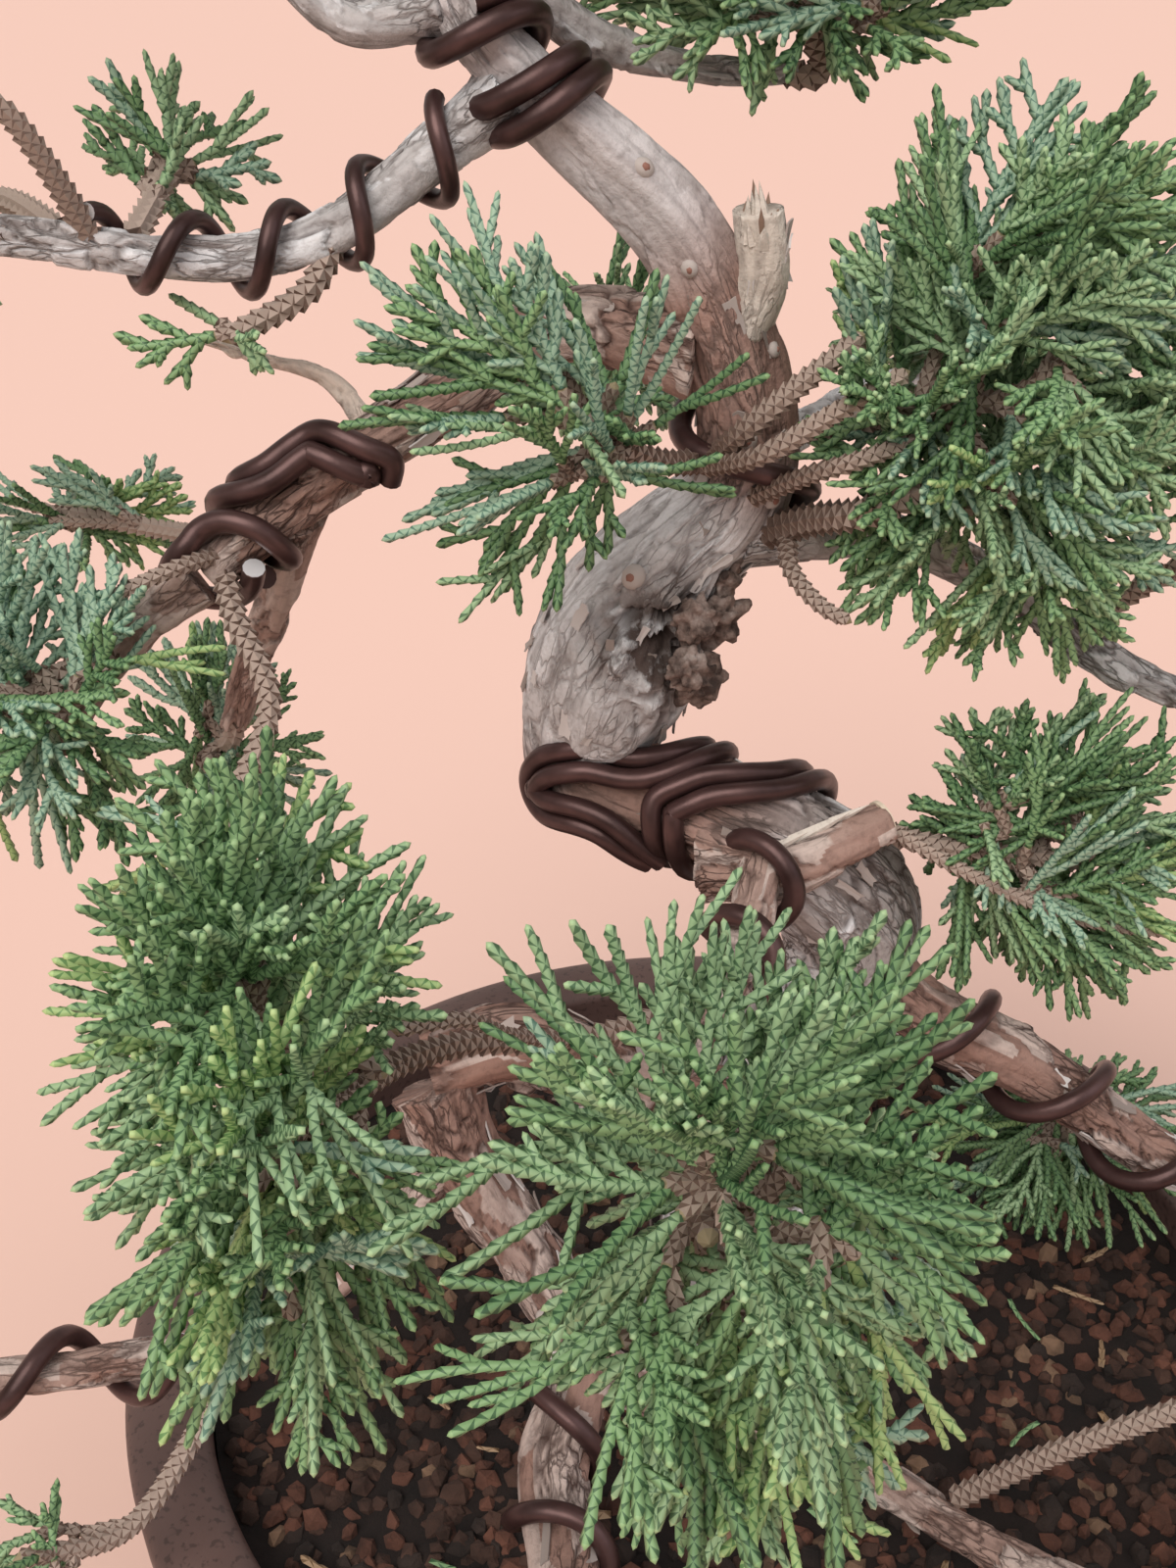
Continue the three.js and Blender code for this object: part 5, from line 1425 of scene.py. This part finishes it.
# Pads low under the right mass weigh the darker tones more: painted shade, where the foliage above shades
# them.
PAINTED_SHADE_SHARES = np.array([0.14, 0.22, 0.14, 0.496, 0, 0.004])
leaf_finishes = []
for number, tones in enumerate(LEAF_TONES):
    for part, code in zip(("back", "groove", "tip"), tones):
        leaf_finishes.append(material(f"leaf {number} {part}", 0.55, code)[0])
# The old twigs' middle colour is likewise painted shade in the hollows under their scales.
twig_finishes = [material(f"old twig {part}", 0.9, code)[0]
                 for part, code in (("back", "a4948a"), ("groove", "65534a"), ("tip", "94886e"))]

REGIONS = {
    "right": ["foliage_right"],
    "right_outer": ["foliage_right_outer"],
    "right_low": ["foliage_right_lower", "foliage_right_under", "foliage_right_low"],
    "centre": ["foliage_centre"],
    "front": ["foliage_front"],
    "front_left": ["foliage_front_left"],
    "left": ["foliage_left", "foliage_left_hanging", "foliage_left_far", "foliage_left_rear"],
    "upper_left": ["foliage_upper_left", "foliage_upper_left_back", "foliage_upper_left_low",
                   "foliage_upper_left_near"],
    "crown": ["foliage_crown_left", "foliage_crown_right", "foliage_crown_back", "foliage_apex"],
    "back": ["foliage_back", "foliage_back_right", "foliage_right_back"],
    "low": ["foliage_low_front", "foliage_low_right", "foliage_low_right_twig", "foliage_low_left",
            "foliage_low_left_twig"],
}


def tone_shares(pad):
    """How many of a pad's fans take each tone."""
    fresh = pad.get("fresh", FRESH)
    shares = CALM_SHARES
    if pad.get("cool"):
        shares = COOL_SHARES
    elif pad.get("shade"):
        shares = PAINTED_SHADE_SHARES
    return fresh * FRESH_SHARES + (1 - fresh) * shares


def cords_inside(i, pad, cords):
    """Which cords end in their pad, off the wood and the open lines, with the cord they grow from."""
    ends = np.array([cord[0] + (cord[1] + cord[2]) * cord[4] for cord in cords])
    inside = np.linalg.norm((ends - pad_centres[i]) / pad_reaches[i], axis=1) < PAD_SLACK
    inside &= ends[:, 0] < pad.get("east", math.inf)
    inside &= ((ends > np.array(cad_low) * 1000) & (ends < np.array(cad_high) * 1000)).all(axis=1)
    middles = np.array([cord[0] + cord[1] * cord[4] / 2 for cord in cords])
    inside &= ~in_the_way(ends) & ~in_the_way(middles)
    spots, rooms = fine_stations
    inside &= (np.linalg.norm(ends[:, None] - spots, axis=2) > rooms - BARK_SLACK).all(axis=1)
    for k, cord in enumerate(cords):
        inside[k] &= inside[k - cord[7]]
    return inside


def pad_cords(i, pad, fans):
    """The cords of a pad's fans that stay inside it, each fan in one tone."""
    dice = np.random.default_rng(CORD_SEED + i)
    shares = tone_shares(pad)
    cords = []
    for fan in fans:
        tone = dice.choice(len(LEAF_TONES), p=shares)
        cords += fan_cords(fan, dice, tone, pad.get("cord", CORD_RADIUS), pad.get("long", LONG_SHARE))
    return [cord for cord, keep in zip(cords, cords_inside(i, pad, cords)) if keep]


for region, members in REGIONS.items():
    leaf_batches, twig_batches = [], []
    hidden = HIDDEN_STEP if region in ("crown", "back") else 1
    for name in members:
        i, pad = pad_names.index(name), PADS[name]
        stem, twigs, fans = grow_pad(i, pad)
        scale_step = SCALE_STEP * pad.get("cord", CORD_RADIUS) / CORD_RADIUS * hidden
        leaf_batches += cord_batches(pad_cords(i, pad, fans), scale_step)
        twig_batches.append(stem_batch(stem, 0.05, TWIG_STEP))
        for node, elbow in twigs:
            if np.linalg.norm(elbow - node) > SHORTEST_TWIG:
                twig = Limb([node, (node + elbow) / 2, elbow], 1.0, 0.8)
                twig_batches.append(stem_batch(twig, 0, TWIG_STEP))
    leaves = add_object(f"leaves_{region}", joined(f"leaves_{region}", leaf_batches, leaf_finishes, True))
    branchlets = add_object(f"twigs_{region}", joined(f"twigs_{region}", twig_batches, twig_finishes))
    for piece in (leaves, branchlets):
        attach(piece, "root")
    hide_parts(*members)


# Old twigs
# Bare older twigs, still clothed in dry brown scale leaves, lead into the pads and past them. A few
# have lost their green altogether.
OLD_TWIGS = {
    "to_right_a": (1.5, 1.2, [(-7, -4, 203), (-4.2, -10, 208.3), (0.9, -10, 212.9), (8, -8, 218)]),
    "to_right_b": (1.3, 1.1, [(-8, -5, 202.5), (-2.3, -12.5, 206.5), (4.8, -12, 210.7), (13, -8, 214)]),
    "to_right_c": (1.3, 1.0, [(-2.5, -3, 198), (3.5, -10, 203.4), (7.8, -12, 205.5), (15, -10, 207.5)]),
    "to_right_d": (2.2, 1.7, [(-1, 1, 192), (4.5, -6, 196.5), (9.4, -10, 198.8), (18, -8, 201.4)]),
    "hanging": (1.3, 0.9, [(2, -2, 194), (2.2, -9, 191.1), (5.5, -12, 188.2), (8.3, -12.5, 186.8)]),
    "upper_left_fork": (1.5, 1.1, [(-74, -5.8, 228), (-77, -8, 236), (-80, -9, 241), (-86, -9, 244)]),
    "front_arch": (0.9, 0.8, [(-21, -47, 153.5), (-29.4, -58, 163), (-33, -62, 168), (-39, -66, 170)]),
    "low_left_spur": (1.3, 0.9, [(-63, -29, 92.5), (-62, -36, 98), (-66, -43, 102)]),
    "to_right_lower": (1.1, 0.7, [(17, -6.2, 155), (27, -9, 150), (43, -8, 142), (60, -6, 138)]),
    "left_spur": (1.2, 0.8, [(-63, -6, 192.5), (-68, -12, 193), (-76, -14, 190)]),
}
twig_sets = [stem_batch(Limb(route, wide, narrow), 0, 0.65) for wide, narrow, route in OLD_TWIGS.values()]
old_twigs = add_object("old_twigs", joined("old_twigs", twig_sets, twig_finishes))
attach(old_twigs, "root")


# Flakes, buds and splinters
# Thin plates of dead bark curl off the trunk and the thick low boughs. Buds sit on the smooth bark
# higher up, the dead stub ends in splinters, and cut stubs and cut wires show their inside.
FLAKE_PLACES = [("trunk", 0.5, 0.6, 34, 0.6), ("trunk", 0.05, 0.5, 60, 0.8), ("trunk", 0.6, 0.76, 36, 0.6),
                ("bough_low_arch", 0.1, 1, 40, 0.9), ("bough_low_front", 0.02, 0.8, 45, 0.8),
                ("bough_right_low", 0.1, 0.9, 26, 0.7), ("bough_left", 0.05, 0.6, 18, 0.8),
                ("bough_low_left", 0.05, 0.6, 14, 0.7), ("bough_low_right", 0.05, 0.6, 12, 0.7),
                ("trunk", 0.93, 1, 10, 0.6), ("stub_deadwood", 0.1, 0.9, 14, 0.8)]
FLAKE_ROWS = 5
FLAKE_COLUMNS = 3
FLAKE_EDGE = [0, 1, 2, 5, 8, 11, 14, 13, 12, 9, 6, 3]
FLAKE_THICK = 0.22
FLAKE_SEED = 71
BUDS = [("trunk", 0.845, -0.5, 1.3), ("trunk", 0.805, 0.25, 1.3), ("trunk", 0.765, -0.3, 1.1),
        ("trunk", 0.612, -0.35, 1.7), ("trunk", 0.665, 0.6, 1.4), ("trunk", 0.72, 0.9, 1.0),
        ("trunk", 0.9, 0.8, 1.2), ("bough_left", 0.3, 0.2, 1.4), ("trunk", 0.69, -0.1, 1.4),
        ("bough_right", 0.45, 0.1, 1.0), ("bough_right_low", 0.45, 0.4, 1.4),
        ("bough_low_front", 0.3, 0.3, 1.3)]
BURRS = [(-5, -4, 181.6, 3.2), (-6.9, -7, 175.4, 2.8), (-4.5, -2, 186.4, 2.6), (-8.5, -9, 184, 2.6),
         (-9.5, -10.5, 178.6, 2.2)]
SPLINTERS_AROUND = 16
SPLINTERS_AT_END = 11
SPLINTER_SEED = 5
TORN_CUT = [((4, -10, 155.2), (11.5, -9, 159.2), 1.1), ((1, -11, 154.6), (6, -11.5, 157.8), 0.8),
            ((9, -8.4, 157.2), (14, -7.6, 159.4), 0.7)]


def on_bark(name, share, turn, above=0.0):
    """A spot on a limb's bark, turned from its front, with the ways out of the bark, onward and round."""
    limb = limbs[name]
    onward = limb.heading(share)
    side = unit(np.cross(onward, (0, -1, 0.35)))
    front = np.cross(side, onward)
    out = front * math.cos(turn) + side * math.sin(turn)
    return limb.at(share) + out * (float(limb.radius(share)) + above), out, onward, np.cross(onward, out)


def flake(spot, out, onward, across, length, width, curl, ragged):
    """A thin closed plate that lies on the bark at one end and curls away at the other; ragged holds
    how far each of its points is pushed from a plain oblong."""
    top, under = [], []
    for row in range(FLAKE_ROWS):
        for column in range(FLAKE_COLUMNS):
            t = (row + (ragged[row, column] - 0.9) * 1.4) / (FLAKE_ROWS - 1)
            aside = (column - 1) * width / 2 * ragged[row, (column + row) % FLAKE_COLUMNS]
            lift = -0.3 + curl * t * t + 0.12 * abs(column - 1)
            point = spot + onward * length * (t - 0.2) + across * aside + out * lift
            top.append(point)
            under.append(point - out * FLAKE_THICK)
    faces, below = [], len(top)
    for row in range(FLAKE_ROWS - 1):
        for column in range(FLAKE_COLUMNS - 1):
            a = row * FLAKE_COLUMNS + column
            b, c, d = a + 1, a + FLAKE_COLUMNS + 1, a + FLAKE_COLUMNS
            faces += [(a, c, b), (a, d, c), (a + below, b + below, c + below),
                      (a + below, c + below, d + below)]
    for first, second in zip(FLAKE_EDGE, FLAKE_EDGE[1:] + FLAKE_EDGE[:1]):
        faces += [(first, second, second + below), (first, second + below, first + below)]
    return np.array(top + under), np.array(faces)


def in_finish(shape, number):
    """A batch for one mesh, from the points and faces of a shape that has one finish."""
    points, faces = shape
    return points, faces, np.full(len(faces), number)


flake_sets = []
dice = np.random.default_rng(FLAKE_SEED)
for name, start, end, count, size in FLAKE_PLACES:
    for _ in range(count):
        spot, out, onward, across = on_bark(name, dice.uniform(start, end), dice.uniform(-math.pi, math.pi))
        skew = dice.uniform(-0.35, 0.35)
        along = onward * math.cos(skew) + across * math.sin(skew)
        if dice.random() < 0.5:
            along = -along
        around = np.cross(out, along)
        plate = flake(spot, out, along, around, size * dice.uniform(3.5, 8), size * dice.uniform(1.2, 3),
                      size * dice.uniform(0.05, 1.0), dice.uniform(0.65, 1.15, (FLAKE_ROWS, FLAKE_COLUMNS)))
        flake_sets.append(in_finish(plate, dice.integers(0, 3)))
flake_finishes = [material(f"{tone} curled bark", 0.9, code)[0]
                  for tone, code in (("pale", "c4c0bf"), ("dark", "8f8580"), ("warm", "a89f9b"))]
flakes = add_object("bark_flakes", joined("bark_flakes", flake_sets, flake_finishes))
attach(flakes, "root")


def lump(spot, out, onward, radius, rise, seed, fineness=2, roughness=0.12):
    """A rounded bud or burr standing out of the bark."""
    ball = bmesh.new()
    bmesh.ops.create_icosphere(ball, subdivisions=fineness, radius=1)
    points = np.array([vertex.co for vertex in ball.verts])
    waves = [noise.noise(vertex.co * 2.3 + Vector((seed, 0, 0))) for vertex in ball.verts]
    points *= 1 + roughness * np.array(waves)[:, None]
    faces = np.array([[vertex.index for vertex in face.verts] for face in ball.faces])
    ball.free()
    across = np.cross(onward, out)
    form = points[:, :1] * onward * 1.15 + points[:, 1:2] * across + points[:, 2:] * out * rise
    return spot + radius * form, faces


def burr_wood():
    """Dark wrinkled wood of a burr."""
    made, tree, shader = material("burr wood", 0.9)
    tone = ramp(tree, noise_at(tree, 300, 6, 0.65), [(0.38, "3c302c"), (0.52, "7c6c65"), (0.68, "a59a95")])
    tree.links.new(tone, shader.inputs["Base Color"])
    bump(tree, shader, noise_at(tree, 500, 5, 0.6), 0.9, 0.9)
    return made


bud_sets = []
for seed, (name, share, turn, radius) in enumerate(BUDS):
    spot, out, onward, _ = on_bark(name, share, turn)
    heart = lump(spot + out * radius * 0.42, out, onward, radius * 0.36, 0.8, seed + 20)
    bud_sets.append(in_finish(lump(spot, out, onward, radius * 0.85, 0.75, seed), 0))
    bud_sets.append(in_finish(heart, 1))
knot_spine = trunk.at(np.linspace(0.3, 0.8, 300))
for seed, (x, y, z, radius) in enumerate(BURRS):
    place = np.array((x, y, z))
    out = unit(place - knot_spine[np.linalg.norm(knot_spine - place, axis=1).argmin()])
    onward = unit(np.cross(out, (1, 0.2, 0)))
    burr = lump(place - out * radius * 0.5, out, onward, radius, 0.8, 40 + seed, 4, 0.7)
    bud_sets.append(in_finish(burr, 2))
bud_finishes = [material("bud bark", 0.85, "b2aaa6")[0], material("bud heart", 0.8, "8e665a")[0], burr_wood()]
buds = add_object("bark_buds", joined("bark_buds", bud_sets, bud_finishes))
buds.data.shade_smooth()
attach(buds, "root")


def ring_round(middle, facing, aside, radius, sides):
    """Points in a ring round a middle, square to the way it faces."""
    side = unit(np.cross(facing, aside))
    up = np.cross(facing, side)
    angle = np.arange(sides) * math.tau / sides
    return middle + radius * (np.cos(angle)[:, None] * side + np.sin(angle)[:, None] * up)


def spike(foot, tip, wide, sides=5):
    """A closed pointed sliver."""
    along, aside = unit(tip - foot), (0.3, 0.9, 0.2)
    ring = ring_round(foot, along, aside, wide, sides)
    middle = ring_round(foot + (tip - foot) * 0.55, along, aside, wide * 0.6, sides)
    faces = []
    for j in range(sides):
        k = (j + 1) % sides
        faces += [(j, k, sides + k), (j, sides + k, sides + j), (sides + j, sides + k, 2 * sides),
                  (2 * sides + 1, k, j)]
    return np.vstack([ring, middle, tip, foot]), np.array(faces)


splinter_sets = []
dice = np.random.default_rng(SPLINTER_SEED)
for k in range(SPLINTERS_AROUND):
    spot, out, onward, _ = on_bark("stub_deadwood", dice.uniform(0.55, 0.9), dice.uniform(-0.6, 2.4), -0.7)
    tip = spot + onward * dice.uniform(1.5, 3.5) + out * dice.uniform(-0.2, 1.2)
    splinter_sets.append(in_finish(spike(spot, tip, dice.uniform(0.5, 0.9)), k % 2))
for k in range(SPLINTERS_AT_END):
    turn = k * math.tau / SPLINTERS_AT_END + dice.uniform(-0.2, 0.2)
    spot, out, onward, _ = on_bark("stub_deadwood", 0.93, turn, -0.9)
    tip = spot + onward * dice.uniform(1.6, 4.6) - out * dice.uniform(0.2, 1.3)
    splinter_sets.append(in_finish(spike(spot - onward * 2, tip, dice.uniform(0.7, 1.0)), int(k % 3 == 2)))
for foot, tip, wide in TORN_CUT:
    splinter_sets.append(in_finish(spike(np.array(foot), np.array(tip), wide), 0))
splinter_finishes = [bleached, material("splinter brown", 0.9, "8c7465")[0]]
splinters = add_object("splinters", joined("splinters", splinter_sets, splinter_finishes))
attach(splinters, "root")


def disc(middle, facing, radius, deep=0.3, sides=20):
    """A short closed cylinder, for a cut face."""
    ring = ring_round(middle, facing, (0.2, 0.3, 0.9), radius, sides)
    rise = facing * deep
    points = np.vstack([ring + rise, ring - rise, [middle + rise], [middle - rise]])
    faces = []
    for j in range(sides):
        k = (j + 1) % sides
        faces += [(j, sides + j, sides + k), (j, sides + k, k), (2 * sides, j, k),
                  (2 * sides + 1, sides + k, sides + j)]
    return points, np.array(faces)


stub = limbs["stub_cut"]
cut_sets = [in_finish(disc(stub.at(1.0), stub.heading(1.0), float(stub.radius(1.0)) * 0.93), 0)]
for middle, facing, radius in wire_ends:
    cut_sets.append(in_finish(disc(middle, facing, radius * 0.93, 0.08, 12), 1))
cut_aluminium, _, shader = material("cut aluminium", 0.35, "e6e8ec")
shader.inputs["Metallic"].default_value = 0.5
cut_finishes = [material("cut wood", 0.8, "d8cbb8")[0], cut_aluminium]
cuts = add_object("cut_faces", joined("cut_faces", cut_sets, cut_finishes))
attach(cuts, "root")


# Fallen shoots
# Dry brown and straw-coloured shoots, and a few still green, lie on the soil.
FALLEN = [(46.5, 3.8, -1.5, 9, 1), (38.4, -30, 0.2, 5, 1), (54.4, 6.9, -0.6, 8, 5), (58, -9, 1.2, 5, 5)]
FALLEN_COUNT = 46
FALLEN_REACH = 74
FALLEN_TONES = [5, 5, 5, 1, 3]
FALLEN_SEED = 23
fallen_cords = []
dice = np.random.default_rng(FALLEN_SEED)
for k in range(FALLEN_COUNT):
    if k < len(FALLEN):
        x, y, turn, length, tone = FALLEN[k]
    else:
        radius, angle = FALLEN_REACH * math.sqrt(dice.uniform(0.1, 1)), dice.uniform(0, math.tau)
        x, y, turn = radius * math.cos(angle), radius * math.sin(angle), dice.uniform(0, math.tau)
        length, tone = dice.uniform(3, 10), dice.choice(FALLEN_TONES)
    start = np.array((x, y, float(soil_height(math.hypot(x, y))) + dice.uniform(0.4, 1.0)))
    way = unit(np.array((math.cos(turn), math.sin(turn), dice.uniform(0.0, 0.12))))
    bend = np.cross(way, (0, 0, 1)) * dice.uniform(-0.3, 0.3)
    if np.hypot(*(start + (way + bend) * length)[:2]) < RIM_INNER - 3:
        thick = dice.uniform(0.35, 0.7)
        fallen_cords.append((start, way, bend, np.array((0, 0, 1.0)), length, thick, tone, 0))
fallen = add_object("fallen_shoots", joined("fallen_shoots", cord_batches(fallen_cords, 1.1), leaf_finishes))
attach(fallen, "root")
